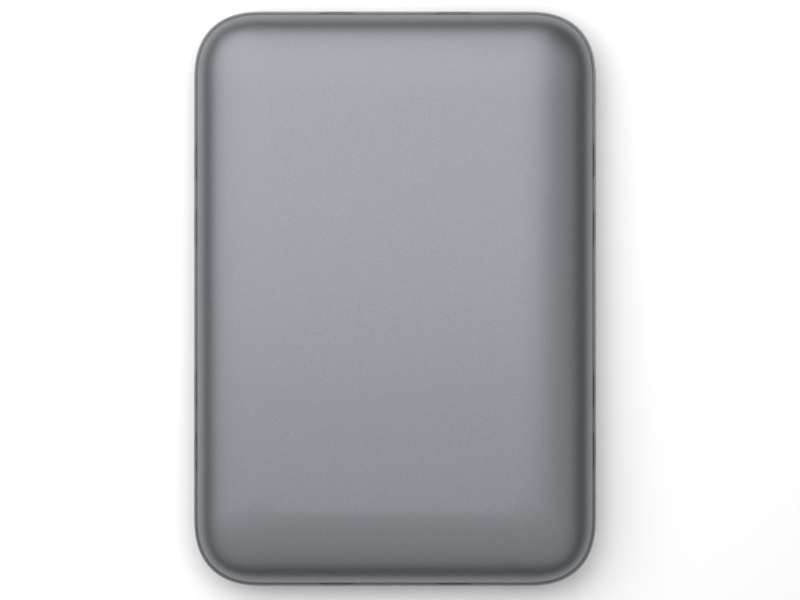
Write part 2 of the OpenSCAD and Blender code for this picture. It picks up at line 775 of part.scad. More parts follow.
module lid_screws() {
    head_r = 1.5;
    socket_r = 0.6;
    socket_l = 0.12;
    color([0.55, 0.56, 0.58]) in_disk() for (p = lid_screw_spots) translate([p.x, p.y, lid_z + lid_t])
        difference() {
            union() {
                cylinder(r = head_r, h = lid_step);
                translate([0, 0, -screw_l]) cylinder(r = lid_screw_r, h = screw_l + lid_step / 2);
            }
            translate([0, 0, lid_step - socket_l]) cylinder(r = socket_r, h = cut, $fn = 6);
        }
}

// Toothed lamination of the motor, with a pole shoe on each tooth
module stator_core() {
    shoe_w = 3.4;
    shoe_t = 0.6;
    yoke_out = 4.5;
    yoke_in = 3.25;
    color([0.5, 0.5, 0.52]) at_spindle() translate([0, 0, stator_z]) linear_extrude(stator_t)
        difference() {
            union() {
                circle(yoke_out);
                for (k = [0 : teeth - 1]) rotate(360 * k / teeth)
                    translate([0, -tooth_w / 2]) square([stator_r - shoe_t / 2, tooth_w]);
                intersection() {
                    difference() {
                        circle(stator_r);
                        circle(stator_r - shoe_t);
                    }
                    for (k = [0 : teeth - 1]) rotate(360 * k / teeth)
                        translate([0, -shoe_w / 2]) square([2 * stator_r, shoe_w]);
                }
            }
            circle(yoke_in);
        }
}

module stator_coils() {
    wire = 0.35;
    from = 4.75;
    to = stator_r - 0.75;
    core = [stator_t + 2 * running, tooth_w + 2 * running];
    color([0.72, 0.42, 0.2]) at_spindle() translate([0, 0, stator_z]) for (k = [0 : teeth - 1])
        rotate(360 * k / teeth) translate([from, 0, stator_t / 2]) rotate([0, 90, 0])
            linear_extrude(to - from) difference() {
                square([core.x + 2 * wire, core.y + 2 * wire], center = true);
                square(core, center = true);
            }
}

module spindle_sleeve() {
    low = 0.1;
    cap_t = 0.5;
    top = floor_t + 1.8;
    color([0.75, 0.65, 0.4]) at_spindle() translate([0, 0, low]) rotate_extrude()
        polygon([[0, 0], [sleeve_out, 0], [sleeve_out, top], [shaft_r + running, top],
            [shaft_r + running, cap_t], [0, cap_t]]);
}

module spindle_hub() {
    roof = floor_t + 2.2;
    top = platters_top - 0.1;
    flange_t = 0.6;
    skirt_z = floor_t + 0.25;
    shaft_z = 0.7;
    color([0.8, 0.8, 0.82]) at_spindle() difference() {
        rotate_extrude() polygon([[0, shaft_z], [shaft_r, shaft_z], [shaft_r, roof],
            [hub_skirt_in, roof], [hub_skirt_in, skirt_z], [hub_out, skirt_z],
            [hub_out, platter_z - flange_t], [flange_r, platter_z - flange_t],
            [flange_r, platter_z], [hub_out, platter_z], [hub_out, top], [0, top]]);
        translate([0, 0, top - clamp_screw_l]) cylinder(r = clamp_screw_r + snug, h = disk_h);
    }
}

module rotor_magnet() {
    low = floor_t + 0.45;
    magnet_h = 1.5;
    color([0.3, 0.3, 0.32]) at_spindle() translate([0, 0, low])
        ring(stator_r + seat, hub_skirt_in - snug, magnet_h);
}

module platter(z) {
    color([0.86, 0.87, 0.88]) at_spindle() translate([0, 0, z]) ring(bore_r, platter_r, platter_t);
}

module platter_lower() platter(platter_zs[0]);
module platter_upper() platter(platter_zs[1]);

module platter_spacer() {
    color([0.7, 0.7, 0.72]) at_spindle() translate([0, 0, platter_z + platter_t])
        ring(bore_r, flange_r, platter_gap);
}

module platter_clamp() {
    foot = 0.6;
    foot_t = 0.25;
    lift = 0.1;
    hole_r = clamp_screw_r + 0.25;
    bend_r = bore_r - 1;
    z = platters_top;
    color([0.76, 0.77, 0.79]) at_spindle() rotate_extrude()
        polygon([[hole_r, z + lift], [bend_r, z + lift], [clamp_r - foot, z], [clamp_r, z],
            [clamp_r, z + foot_t], [bend_r, z + clamp_t], [hole_r, z + clamp_t]]);
}

module clamp_screw() {
    head_r = 2.2;
    head_h = 0.4;
    socket_r = 0.8;
    socket_z = 0.15;
    color([0.45, 0.45, 0.47]) at_spindle() translate([0, 0, platters_top + clamp_t]) difference() {
        union() {
            cylinder(r = head_r, h = head_h);
            translate([0, 0, -clamp_screw_l]) cylinder(r = clamp_screw_r, h = clamp_screw_l + head_h / 2);
        }
        translate([0, 0, socket_z]) cylinder(r = socket_r, h = disk_h, $fn = 6);
    }
}

// Flat outline of one arm, along +X from the pivot, with a round window in it
module arm_outline() {
    window = 14;
    window_r = 1.7;
    waist = 2.5;
    difference() {
        union() {
            circle(hub_r);
            polygon([[0, -arm_taper], [sheet_from, -waist], [arm_tip, -tip_half],
                [arm_tip, tip_half], [sheet_from, waist], [0, arm_taper]]);
        }
        circle(sleeve_r + snug);
        translate([window, 0]) circle(window_r);
    }
}

// Carriage: a hub with three arms, and two fingers that hold the coil
module arm_block() {
    finger = [coil_half + 0.4, coil_half + 2.6];
    finger_r = [hub_r - 0.4, coil_out - 2];
    pad_half = coil_half + 1;
    color([0.72, 0.73, 0.75]) at_pivot() {
        for (z = [arm_low, arm_mid, arm_high]) translate([0, 0, z[0]])
            linear_extrude(z[1] - z[0]) rotate(park_dir) arm_outline();
        translate([0, 0, arm_low[0]]) ring(sleeve_r + snug, hub_r, arm_high[1] - arm_low[0]);
        for (s = [-1, 1]) translate([0, 0, mid_z - coil_t / 2]) linear_extrude(coil_t)
            sector(finger_r[0], finger_r[1], coil_dir + s * (finger[0] + finger[1]) / 2,
                (finger[1] - finger[0]) / 2);
        translate([0, 0, mid_z - coil_t / 2]) linear_extrude(coil_t)
            sector(finger_r[0], coil_in - snug, coil_dir, pad_half);
    }
}

module pivot_shaft() {
    color([0.6, 0.6, 0.62]) at_pivot() translate([0, 0, deck_z]) {
        cylinder(r = post_r, h = lid_z - deck_z);
        cylinder(r = sleeve_r - 0.8, h = arm_clear / 2);
    }
}

module pivot_sleeve() {
    color([0.66, 0.67, 0.7]) at_pivot() translate([0, 0, arm_low[0]])
        ring(post_r + running, sleeve_r, arm_high[1] - arm_low[0]);
}

module voice_coil() {
    mid = (coil_in + coil_out) / 2;
    color([0.72, 0.4, 0.18]) at_pivot() translate([0, 0, mid_z - coil_t / 2])
        linear_extrude(coil_t) difference() {
            sector(coil_in, coil_out, coil_dir, coil_half);
            sector(coil_in + coil_wire, coil_out - coil_wire, coil_dir,
                coil_half - coil_wire * 180 / PI / mid);
        }
}

// Sprung sheet from an arm's tip to its head, with the lift tab that rides on the ramp
module suspension(k) {
    root_half = tip_half - 0.2;
    edge = [[sheet_from, root_half], [arm_tip, root_half], [head_reach - 1, 2 * tab_half],
        [head_reach + 0.8, 2 * tab_half - 0.05], [head_reach + 1.2, tab_half],
        [tab_reach, tab_half]];
    color([0.82, 0.82, 0.84]) at_pivot() translate([0, 0, sheet_zs[k]]) rotate(park_dir)
        linear_extrude(sheet_t) polygon(concat([for (p = edge) [p.x, -p.y]], flip(edge)));
}

module suspension_1() suspension(0);
module suspension_2() suspension(1);
module suspension_3() suspension(2);
module suspension_4() suspension(3);

module heads() {
    slider = [1.2, 1];
    color([0.2, 0.2, 0.22]) at_pivot() rotate(park_dir) for (z = slider_zs)
        translate([head_reach - slider.x / 2, -slider.y / 2, z]) cube([slider.x, slider.y, slider_t]);
}

module voice_magnet(z) {
    color([0.58, 0.59, 0.6]) at_pivot() translate([0, 0, z]) linear_extrude(magnet_t)
        sector(magnet_in, yoke_r - 1, coil_mid, magnet_half);
}

module magnet_lower() voice_magnet(deck_z + yoke_t);
module magnet_upper() voice_magnet(yoke_top_z - magnet_t);

module yoke_plate() {
    sector(coil_in, yoke_r, coil_mid, yoke_half);
}

module yoke_lower() {
    color([0.62, 0.63, 0.65]) at_pivot() {
        translate([0, 0, deck_z]) linear_extrude(yoke_t) yoke_plate();
        for (s = [-1, 1]) rotate(coil_mid + s * stop_half) translate([stop_reach, 0, deck_z])
            cylinder(r = stop_post_r, h = yoke_top_z - deck_z);
    }
}

module yoke_upper() {
    color([0.62, 0.63, 0.65]) at_pivot() translate([0, 0, yoke_top_z])
        linear_extrude(yoke_t) yoke_plate();
}

module crash_stops() {
    color([0.14, 0.14, 0.15]) at_pivot() for (s = [-1, 1]) rotate(coil_mid + s * stop_half)
        translate([stop_reach, 0, mid_z - coil_t / 2]) ring(stop_post_r + snug, stop_r, coil_t);
}

// Comb that the lift tabs ride up on: a block and a fin at each platter's height
module load_ramp() {
    fin_gap = 0.05;
    fin = [tab_reach - 2, ramp_reach[0] + 0.2];
    color([0.9, 0.88, 0.8]) in_disk() difference() {
        translate(pivot) {
            translate([0, 0, deck_z]) linear_extrude(lid_z - seat - deck_z)
                sector(ramp_reach[0], ramp_reach[1], ramp_dir, ramp_half);
            for (k = [0, 2]) translate([0, 0, sheet_zs[k] + sheet_t + fin_gap])
                linear_extrude(sheet_zs[k + 1] - sheet_zs[k] - sheet_t - 2 * fin_gap)
                    sector(fin[0], fin[1], ramp_dir, ramp_half);
        }
        translate([spindle.x, spindle.y, -cut]) cylinder(r = platter_r + 0.4, h = 2 * disk_h);
    }
}

module air_filter() {
    size = [4.6, 8, 2.6];
    color([0.93, 0.93, 0.9]) in_disk() translate([bay_x - 4, shelf.y + size.y, shelf_z])
        linear_extrude(size.z) rounded(size.x, size.y, 1.2);
}

// Connector block of the flexible lead, with the ribbon that loops towards the arm hub
module flex_clip() {
    ribbon_t = 0.2;
    ribbon_h = 1.8;
    block = [8, 5, 2.2];
    at = shelf + [6, 8.5];
    leave = 38;
    start = pivot + (hub_r + seat) * [cos(leave), sin(leave)];
    bend = [start.x + 2.6, at.y + 1.4];
    color([0.75, 0.5, 0.15]) in_disk() {
        translate([at.x - block.x / 2, at.y - block.y / 2, shelf_z]) cube(block);
        translate([0, 0, shelf_z + 0.1]) linear_extrude(ribbon_h) {
            ribbon(start, bend, ribbon_t);
            ribbon(bend, [at.x - block.x / 2 + ribbon_t / 2, bend.y], ribbon_t);
        }
    }
}

// Straight stretch of ribbon between two points, seen on edge
module ribbon(a, b, t) {
    d = b - a;
    side = t / 2 * [-d.y, d.x] / norm(d);
    polygon([a - side, b - side, b + side, a + side]);
    translate(b) circle(t / 2);
}

module drive_board() {
    slack = 0.25;
    color([0.04, 0.25, 0.18]) in_disk() difference() {
        linear_extrude(drive_board_t) board_space(slack);
        for (p = board_screw_spots) translate([p.x, p.y, -cut])
            cylinder(r = board_screw_r + 0.15, h = drive_board_t + 2 * cut);
    }
}

module board_screws() {
    head = [1.3, 0.25];
    shank_l = 1.2;
    color([0.5, 0.51, 0.53]) in_disk() for (p = board_screw_spots) translate(p) {
        translate([0, 0, -head[1]]) cylinder(r = head[0], h = head[1]);
        translate([0, 0, -head[1] / 2]) cylinder(r = board_screw_r, h = shank_l + head[1] / 2);
    }
}

// The drive's own connector: a shroud open to +Y, with two keyed blades inside
module disk_connector() {
    h = 3.8;
    back = 1.5;
    cheek = 1;
    depth = disk_y1 - notch_y - seat;
    color([0.08, 0.08, 0.09]) in_disk() translate([sata_x, disk_y1, drive_board_t]) rotate([90, 0, 0]) {
        translate([-sata_w / 2, 0, depth - back]) cube([sata_w, h, back]);
        for (s = [-1, 1]) translate([s * (sata_w - cheek) / 2 - cheek / 2, 0, 0])
            cube([cheek, h, depth - back / 2]);
        translate([0, blade_z, seat]) linear_extrude(depth - back / 2) blades(0);
    }
}

module controller_chip() {
    size = [10, 9, 1];
    at = shelf + [8.5, 7];
    color([0.1, 0.1, 0.11]) in_disk() translate([at.x, at.y, drive_board_t])
        chip(size.x, size.y, size.z);
}

module motor_chip() {
    size = [7, 7, 0.9];
    at = shelf + [20, 7];
    color([0.12, 0.12, 0.13]) in_disk() translate([at.x, at.y, drive_board_t])
        chip(size.x, size.y, size.z);
}

top_cover();
bottom_cover();
foot_front_left();
foot_front_right();
foot_back_left();
foot_back_right();
bumper_front_left();
bumper_front_right();
bumper_back_left();
bumper_back_right();
foam_pad();
bridge_board();
bridge_receptacle();
port_shell();
port_tongue();
port_contacts();
bridge_chip();
memory_chip();
bridge_crystal();
power_inductor();
activity_lamp();
light_pipe();
disk_base();
disk_lid();
lid_gasket();
lid_screws();
stator_core();
stator_coils();
spindle_sleeve();
spindle_hub();
rotor_magnet();
platter_lower();
platter_upper();
platter_spacer();
platter_clamp();
clamp_screw();
arm_block();
pivot_shaft();
pivot_sleeve();
voice_coil();
suspension_1();
suspension_2();
suspension_3();
suspension_4();
heads();
magnet_lower();
magnet_upper();
yoke_lower();
yoke_upper();
load_ramp();
crash_stops();
air_filter();
flex_clip();
drive_board();
board_screws();
disk_connector();
controller_chip();
motor_chip();
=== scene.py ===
"""Portable external hard drive: a satin housing of two pillow-shaped shells on rubber feet,
with the disk drive and its bridge board inside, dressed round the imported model."""

import json
import math

import bmesh
import bpy
import numpy as np
from bpy.props import FloatProperty, FloatVectorProperty, IntProperty, PointerProperty
from mathutils import Matrix, Vector

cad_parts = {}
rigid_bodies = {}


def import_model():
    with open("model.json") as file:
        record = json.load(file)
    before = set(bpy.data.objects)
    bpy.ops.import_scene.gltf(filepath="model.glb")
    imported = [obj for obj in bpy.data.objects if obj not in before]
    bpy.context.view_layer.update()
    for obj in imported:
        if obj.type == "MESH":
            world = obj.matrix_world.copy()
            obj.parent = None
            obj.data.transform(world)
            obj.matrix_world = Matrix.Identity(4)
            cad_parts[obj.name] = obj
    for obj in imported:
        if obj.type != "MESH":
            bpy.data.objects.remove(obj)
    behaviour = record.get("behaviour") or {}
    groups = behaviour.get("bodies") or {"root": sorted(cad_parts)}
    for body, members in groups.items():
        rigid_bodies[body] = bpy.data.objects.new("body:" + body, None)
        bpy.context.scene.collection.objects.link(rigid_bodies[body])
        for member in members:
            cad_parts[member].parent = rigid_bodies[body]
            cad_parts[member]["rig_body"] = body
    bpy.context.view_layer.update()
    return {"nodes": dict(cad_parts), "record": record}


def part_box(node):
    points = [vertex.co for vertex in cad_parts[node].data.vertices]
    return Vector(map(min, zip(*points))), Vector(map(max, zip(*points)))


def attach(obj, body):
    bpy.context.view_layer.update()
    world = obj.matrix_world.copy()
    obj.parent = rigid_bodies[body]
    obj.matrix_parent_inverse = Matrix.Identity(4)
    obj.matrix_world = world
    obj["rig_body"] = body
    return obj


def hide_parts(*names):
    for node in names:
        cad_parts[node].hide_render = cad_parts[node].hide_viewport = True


bl_info = {
    "name": "Portable hard drive",
    "version": (1, 0, 0),
    "blender": (4, 5, 0),
    "location": "View3D > Sidebar > Hard drive",
    "description": "Dresses the packed model of a portable external hard drive",
    "category": "Object",
}

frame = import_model()
NODES = frame["nodes"]
SLOTS = {name: node.data.materials[0].name for name, node in NODES.items()}
TINTS = {entry["slot"]: entry["base_color"][:3] for entry in frame["record"]["materials"]}
MM = 0.001

LOW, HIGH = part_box("bottom_cover")
WIDTH, LENGTH = HIGH.x - LOW.x, HIGH.y - LOW.y
UNDERSIDE = LOW.z
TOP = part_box("top_cover")[1].z


def length(name, description, millimetres):
    return FloatProperty(
        name=name,
        description=description,
        default=millimetres * MM,
        min=0,
        unit="LENGTH",
        subtype="DISTANCE",
        precision=5,
    )


def colour(name, description, value):
    return FloatVectorProperty(
        name=name, description=description, default=value, min=0, max=1, size=3, subtype="COLOR"
    )


def number(name, description, value, **limits):
    return FloatProperty(name=name, description=description, default=value, **limits)


class HousingSizes(bpy.types.PropertyGroup):
    """Sizes of the two covers, as the solids have them."""

    ledge: length("Ledge", "Height at which the two covers meet", 6.8)
    wall: length("Wall", "Wall of both covers", 1.4)
    corner: length("Corner", "Length of each rounded corner along the sides", 14.2)
    corner_fullness: number("Corner fullness", "Fullness of the corners, 2 is a circle", 2.5)
    dome_run: length("Dome run", "How far the dome curves in before it is flat", 16)
    base_run: length("Base run", "How far the bottom cover curves in before it is flat", 9)
    base_fullness: number("Base fullness", "Fullness of the bottom cover's curve", 3.0)
    lip_thickness: length("Lip thickness", "Thickness of the lip outside the seam", 0.3)
    lip_height: length("Lip height", "Height of the lip above the ledge", 0.4)
    seam: length("Seam", "Width of the open seam between the lip and the dome", 0.2)
    edge: length("Edge", "Rounding of the lip's edges", 0.1)
    clip_bulge: length("Clip bulge", "How far the dome's rim swells over each snap hook", 0.2)
    clip_rise: length("Clip rise", "Height of that swelling over the ledge", 0.3)
    clip_length: length("Clip length", "Length of that swelling along the rim", 7.4)
    corner_steps: IntProperty(
        name="Corner steps", description="Steps round each corner", default=24, min=4
    )
    side_steps: IntProperty(
        name="Side steps", description="Steps along each straight side", default=96, min=4
    )
    curve_steps: IntProperty(
        name="Curve steps", description="Steps up each curved wall", default=26, min=4
    )


class HousingFinish(bpy.types.PropertyGroup):
    """Look of the two covers."""

    paint: colour("Paint", "Colour of the satin paint", (0.198, 0.206, 0.221))
    metal: number("Metal", "How metallic the paint is", 0.85, min=0, max=1)
    roughness: number("Roughness", "Roughness of the paint", 0.38, min=0, max=1)
    grain: length("Grain", "Size of the paint's grain", 0.12)
    grain_depth: length("Grain depth", "Depth of the paint's grain", 0.004)


class StudioSettings(bpy.types.PropertyGroup):
    """Camera, light and floor."""

    camera_height: length("Camera height", "Height of the camera over the ledge", 902)
    camera_x: length("Camera X", "Camera's place across the drive", 1.01)
    camera_back: length("Camera back", "How far the camera stands back from the middle", 0.27)
    lens: number("Lens", "Focal length in millimetres", 200.0)
    softbox_height: length("Softbox height", "Height of both softboxes over the floor", 300)
    key_power: number("Key power", "Power of the upper left softbox in watts", 3.29)
    fill_power: number("Fill power", "Power of the broad overhead softbox in watts", 2.89)
    surround: number("Surround", "Brightness of the room round the floor", 0.02)


# Ends of the names of the four feet and the four bumpers
CORNERS = ("front_left", "front_right", "back_left", "back_right")

# Snap hooks: their places along the sides and the ends, then outlines in millimetres, out of
# the wall and over the ledge. A hook's points are counted from its root, and its pocket's
# from the housing's outline.
SIDE_HOOKS = (-31 * MM, -18.5 * MM, 14.3 * MM, 27.7 * MM)
END_HOOKS = (-11.9 * MM, 11.9 * MM)
HOOK = ((-0.9, -2), (0, -2), (0.5, -1.4), (0.5, -1.3), (0, -1.3), (0, 1.5), (-0.9, 1.5))
POCKET = ((-1.9, -2.15), (-1.1, -2.15), (-1.1, -1.15), (-1.9, -1.15))
HOOK_ROOT = 0.3 * MM
HOOK_HALF, POCKET_HALF = 2.5 * MM, 2.8 * MM

# Ribs of both covers, and the ledges, posts and openings of the bottom one
RIB_HALF = 0.4 * MM
TOP_RIB_X, TOP_RIB_DROP, TOP_RIB_ROOT = 21 * MM, 0.8 * MM, 0.7 * MM
BASE_RIB_SHARES, BASE_RIB_GAP = (-0.25, 0, 0.25), 0.3 * MM
LEDGE_WIDTH, LEDGE_HALF, LEDGE_GAP = 2 * MM, 4 * MM, 0.05 * MM
POST_RADIUS, PIN_RADIUS = 1.6 * MM, 0.8 * MM
FOOT_GAP = 0.05 * MM
SOCKET_GAP, SOCKET_ROUNDING = 0.3 * MM, 0.6 * MM
LIGHT_HOLE = 0.95 * MM
FACETS = 48

# Share of the dome's swelling that the lip takes at most, and the bottom cover's tone
LIP_SWELL = 0.9
BASE_TONE = 0.97

# Where the rings of a cover's flat lie, from the curve's end to the centre line
RINGS = (0.08, 0.3, 0.62, 1)

# The satin paint: size of its clouds, its darkest and lightest tone, and how far the flakes
# and the clouds move tone and roughness
CLOUD = 18 * MM
DARKEST, LIGHTEST = 0.8, 1.2
FLAKE_TONE, CLOUD_TONE = 0.9, 0.03
FLAKE_ROUGHNESS, CLOUD_ROUGHNESS = 0.05, 0.04

# Softboxes: name, setting for the power, place over the floor and size, in metres
SOFTBOXES = (
    ("key", "key_power", (-0.2, 0.303), (0.694, 0.67)),
    ("fill", "fill_power", (-0.09, -0.147), (1.26, 0.9)),
)
FLOOR_HALF = 1.2
UNIT_SQUARE = ((-1, -1), (1, -1), (1, 1), (-1, 1))
SENSOR_WIDTH = 36

# Distances at which points become one, and angles between faces
MERGE, SAME_POINT = 1e-6, 1e-7
FLAT, SHARP, BEVEL_FROM = math.radians(0.4), math.radians(32), math.radians(35)

# Edges wider than this many millimetres are rounded in three steps, the others in two
BROAD_EDGE = 0.2


# Node trees


def arithmetic(operation):
    """The two methods that write one Math node: the operator and its reflected form."""

    def forward(self, other):
        return self.graph.math(operation, self, other)

    def reflected(self, other):
        return self.graph.math(operation, other, self)

    return forward, reflected


class Value:
    """A socket's value. Python's operators on it write Math nodes."""

    def __init__(self, graph, socket):
        self.graph, self.socket = graph, socket

    __add__, __radd__ = arithmetic("ADD")
    __sub__, __rsub__ = arithmetic("SUBTRACT")
    __mul__, __rmul__ = arithmetic("MULTIPLY")
    __truediv__, __rtruediv__ = arithmetic("DIVIDE")
    __pow__, __rpow__ = arithmetic("POWER")
    __mod__, __rmod__ = arithmetic("FLOORED_MODULO")
    __gt__, __lt__ = arithmetic("GREATER_THAN")

    def other(self, name):
        """Another output of the same node."""
        return Value(self.graph, self.socket.node.outputs[name])


class Graph:
    """A node tree in the writing."""

    def __init__(self, tree):
        self.tree = tree

    def add(self, kind, settings=None, inputs=None, output=0):
        """One node: its settings first, then its sockets' values or links."""
        node = self.tree.nodes.new(kind)
        for name, value in (settings or {}).items():
            setattr(node, name, value)
        for key, value in (inputs or {}).items():
            if isinstance(value, Value):
                self.tree.links.new(value.socket, node.inputs[key])
            else:
                node.inputs[key].default_value = value
        return Value(self, node.outputs[output])

    def math(self, operation, *terms):
        return self.add("ShaderNodeMath", {"operation": operation}, dict(enumerate(terms)))

    def apart(self, vector):
        """X, Y and Z of a vector."""
        x = self.add("ShaderNodeSeparateXYZ", inputs={0: vector})
        return x, x.other("Y"), x.other("Z")


class GeometryGraph(Graph):
    """A Geometry Nodes tree with named inputs, and what puts it on an object."""

    def __init__(self, name, inputs):
        tree = bpy.data.node_groups.new(name, "GeometryNodeTree")
        super().__init__(tree)
        sockets = tree.interface
        sockets.new_socket("Geometry", in_out="INPUT", socket_type="NodeSocketGeometry")
        sockets.new_socket("Geometry", in_out="OUTPUT", socket_type="NodeSocketGeometry")
        for label, kind in inputs.items():
            sockets.new_socket(label, in_out="INPUT", socket_type="NodeSocket" + kind)
        self.start = self.add("NodeGroupInput")

    def input(self, name):
        return self.start.other(name)

    def end(self, geometry, material):
        """Realize Instances and Set Material, and the tree's output."""
        geometry = self.add("GeometryNodeRealizeInstances", inputs={0: geometry})
        geometry = self.add(
            "GeometryNodeSetMaterial", inputs={"Geometry": geometry, "Material": material}
        )
        out = self.tree.nodes.new("NodeGroupOutput")
        self.tree.links.new(geometry.socket, out.inputs[0])


def grown(name, source, graph, values):
    """A plain mesh object from a source mesh put through a Geometry Nodes tree."""
    carrier = bpy.data.objects.new(name + "_source", source)
    bpy.context.scene.collection.objects.link(carrier)
    modifier = carrier.modifiers.new("Grow", "NODES")
    modifier.node_group = graph.tree
    for item in graph.tree.interface.items_tree:
        if item.in_out == "INPUT" and item.name in values:
            modifier[item.identifier] = values[item.name]
    bpy.context.view_layer.update()
    evaluated = carrier.evaluated_get(bpy.context.evaluated_depsgraph_get())
    mesh = bpy.data.meshes.new_from_object(evaluated)
    mesh.name = name
    carrier.modifiers.remove(modifier)
    bpy.data.objects.remove(carrier)
    return placed(name, mesh)


def placed(name, mesh):
    """An object at the origin for a mesh whose place is in its points."""
    piece = bpy.data.objects.new(name, mesh)
    bpy.context.scene.collection.objects.link(piece)
    return piece


def outline_sweep():
    """Tree that carries a section's points round the housing's outline.

    The source's points are the section: X is the inset from the outline, and Z the height.
    The grid has a row for each of them and a column for each step round the outline, which
    goes through four quarters, each a corner and the straight side after it."""
    g = GeometryGraph(
        "Outline sweep",
        {
            "Width": "Float",
            "Length": "Float",
            "Corner": "Float",
            "Fullness": "Float",
            "Corner steps": "Int",
            "Side steps": "Int",
            "Material": "Material",
        },
    )
    section = g.start
    corner, steps, side = g.input("Corner"), g.input("Corner steps"), g.input("Side steps")
    rows = g.add(
        "GeometryNodeAttributeDomainSize", inputs={"Geometry": section}, output="Point Count"
    )
    quarter_steps = steps + side
    grid = g.add(
        "GeometryNodeMeshGrid",
        inputs={"Vertices X": quarter_steps * 4 + 1, "Vertices Y": rows},
    )
    index = g.add("GeometryNodeInputIndex")
    column = g.math("FLOOR", (index + 0.5) / rows)
    row = index - column * rows
    point = g.add(
        "GeometryNodeSampleIndex",
        {"data_type": "FLOAT_VECTOR"},
        {"Geometry": section, "Value": g.add("GeometryNodeInputPosition"), "Index": row},
    )
    inset, _, height = g.apart(point)

    quarter = g.math("FLOOR", (column + 0.5) / quarter_steps)
    step = column - quarter * quarter_steps
    angle = g.math("MINIMUM", step / steps, 1.0) * (math.pi / 2)
    along = 1 - g.math("MAXIMUM", step - steps, 0.0) / side * 2
    exponent = 2 / g.input("Fullness")
    across = g.math("MAXIMUM", g.math("COSINE", angle), 0.0) ** exponent
    out = g.math("MAXIMUM", g.math("SINE", angle), 0.0) ** exponent
    width, run, odd = g.input("Width"), g.input("Length"), quarter % 2
    half_x = (width + (run - width) * odd) / 2 - inset
    half_y = (run + (width - run) * odd) / 2 - inset
    shrunk = corner * g.math("EXPONENT", 0 - inset / corner)
    rounding = g.math("MINIMUM", shrunk, g.math("MINIMUM", half_x, half_y))
    local = g.add(
        "ShaderNodeCombineXYZ",
        inputs={
            0: (half_x - rounding) * along + rounding * across,
            1: half_y - rounding + rounding * out,
            2: height,
        },
    )
    position = g.add(
        "ShaderNodeVectorRotate",
        {"rotation_type": "Z_AXIS"},
        {"Vector": local, "Angle": quarter * (math.pi / 2)},
    )
    swept = g.add("GeometryNodeSetPosition", inputs={"Geometry": grid, "Position": position})
    closed = g.add("GeometryNodeMergeByDistance", inputs={"Geometry": swept, "Distance": MERGE})
    g.end(closed, g.input("Material"))
    return g


# Mesh work


def section_mesh(points):
    mesh = bpy.data.meshes.new("section")
    mesh.from_pydata([(inset, 0, height) for inset, height in points], [], [])
    return mesh


def middle(node):
    """Centre of a node's box."""
    low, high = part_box(node)
    return [(a + b) / 2 for a, b in zip(low, high)]


def settle(piece):
    """Faces outwards, loose ends gone, smooth but for its sharp edges."""
    bm = bmesh.new()
    bm.from_mesh(piece.data)
    bmesh.ops.remove_doubles(bm, verts=bm.verts, dist=SAME_POINT)
    bmesh.ops.dissolve_degenerate(bm, edges=bm.edges, dist=SAME_POINT)
    loose = [v for v in bm.verts if not v.link_faces]
    bmesh.ops.delete(bm, geom=loose, context="VERTS")
    bmesh.ops.recalc_face_normals(bm, faces=bm.faces)
    bm.to_mesh(piece.data)
    bm.free()
    piece.data.shade_smooth()
    piece.data.set_sharp_from_angle(angle=SHARP)
    return piece


def prism(outline, depth, matrix):
    """Closed prism: an outline in local X and Z, drawn out along local Y to depth each way."""
    n = len(outline)
    points = [matrix @ Vector((x, side * depth, z)) for side in (-1, 1) for x, z in outline]
    faces = [list(range(n)), list(range(2 * n - 1, n - 1, -1))]
    faces += [[i, i + n, (i + 1) % n + n, (i + 1) % n] for i in range(n)]
    return points, faces


def block(low, high):
    """Closed box between two corners."""
    x0, z0, x1, z1 = low[0], low[2], high[0], high[2]
    at = Matrix.Translation((0, (low[1] + high[1]) / 2, 0))
    return prism([(x0, z0), (x1, z0), (x1, z1), (x0, z1)], (high[1] - low[1]) / 2, at)


def round_bar(radius, low, high, matrix, steps=FACETS):
    """Closed round bar along local Z."""
    turn = [2 * math.pi * k / steps for k in range(steps)]
    ring = [(radius * math.cos(a), radius * math.sin(a)) for a in turn]
    axis = Matrix.Rotation(math.pi / 2, 4, "X")
    shift = Matrix.Translation((0, 0, (low + high) / 2))
    return prism(ring, (high - low) / 2, matrix @ shift @ axis)


def joined(name, solids):
    """One mesh object that holds several closed solids, for a boolean."""
    points, faces = [], []
    for solid_points, solid_faces in solids:
        faces += [[i + len(points) for i in face] for face in solid_faces]
        points += solid_points
    mesh = bpy.data.meshes.new(name)
    mesh.from_pydata([tuple(p) for p in points], [], faces)
    piece = placed(name, mesh)
    bm = bmesh.new()
    bm.from_mesh(mesh)
    bmesh.ops.recalc_face_normals(bm, faces=bm.faces)
    bm.to_mesh(mesh)
    bm.free()
    return piece


def combine(piece, operation, solids):
    """Unites solids with a piece or cuts them out of it."""
    tool = joined("tool", solids)
    modifier = piece.modifiers.new("Cut", "BOOLEAN")
    modifier.operation, modifier.object, modifier.solver = operation, tool, "MANIFOLD"
    bpy.context.view_layer.update()
    evaluated = piece.evaluated_get(bpy.context.evaluated_depsgraph_get())
    mesh = bpy.data.meshes.new_from_object(evaluated)
    piece.modifiers.remove(modifier)
    if len(mesh.vertices) < 8:
        raise RuntimeError(f"{piece.name}: the {operation.lower()} left nothing")
    piece.data = mesh
    bpy.data.objects.remove(tool)


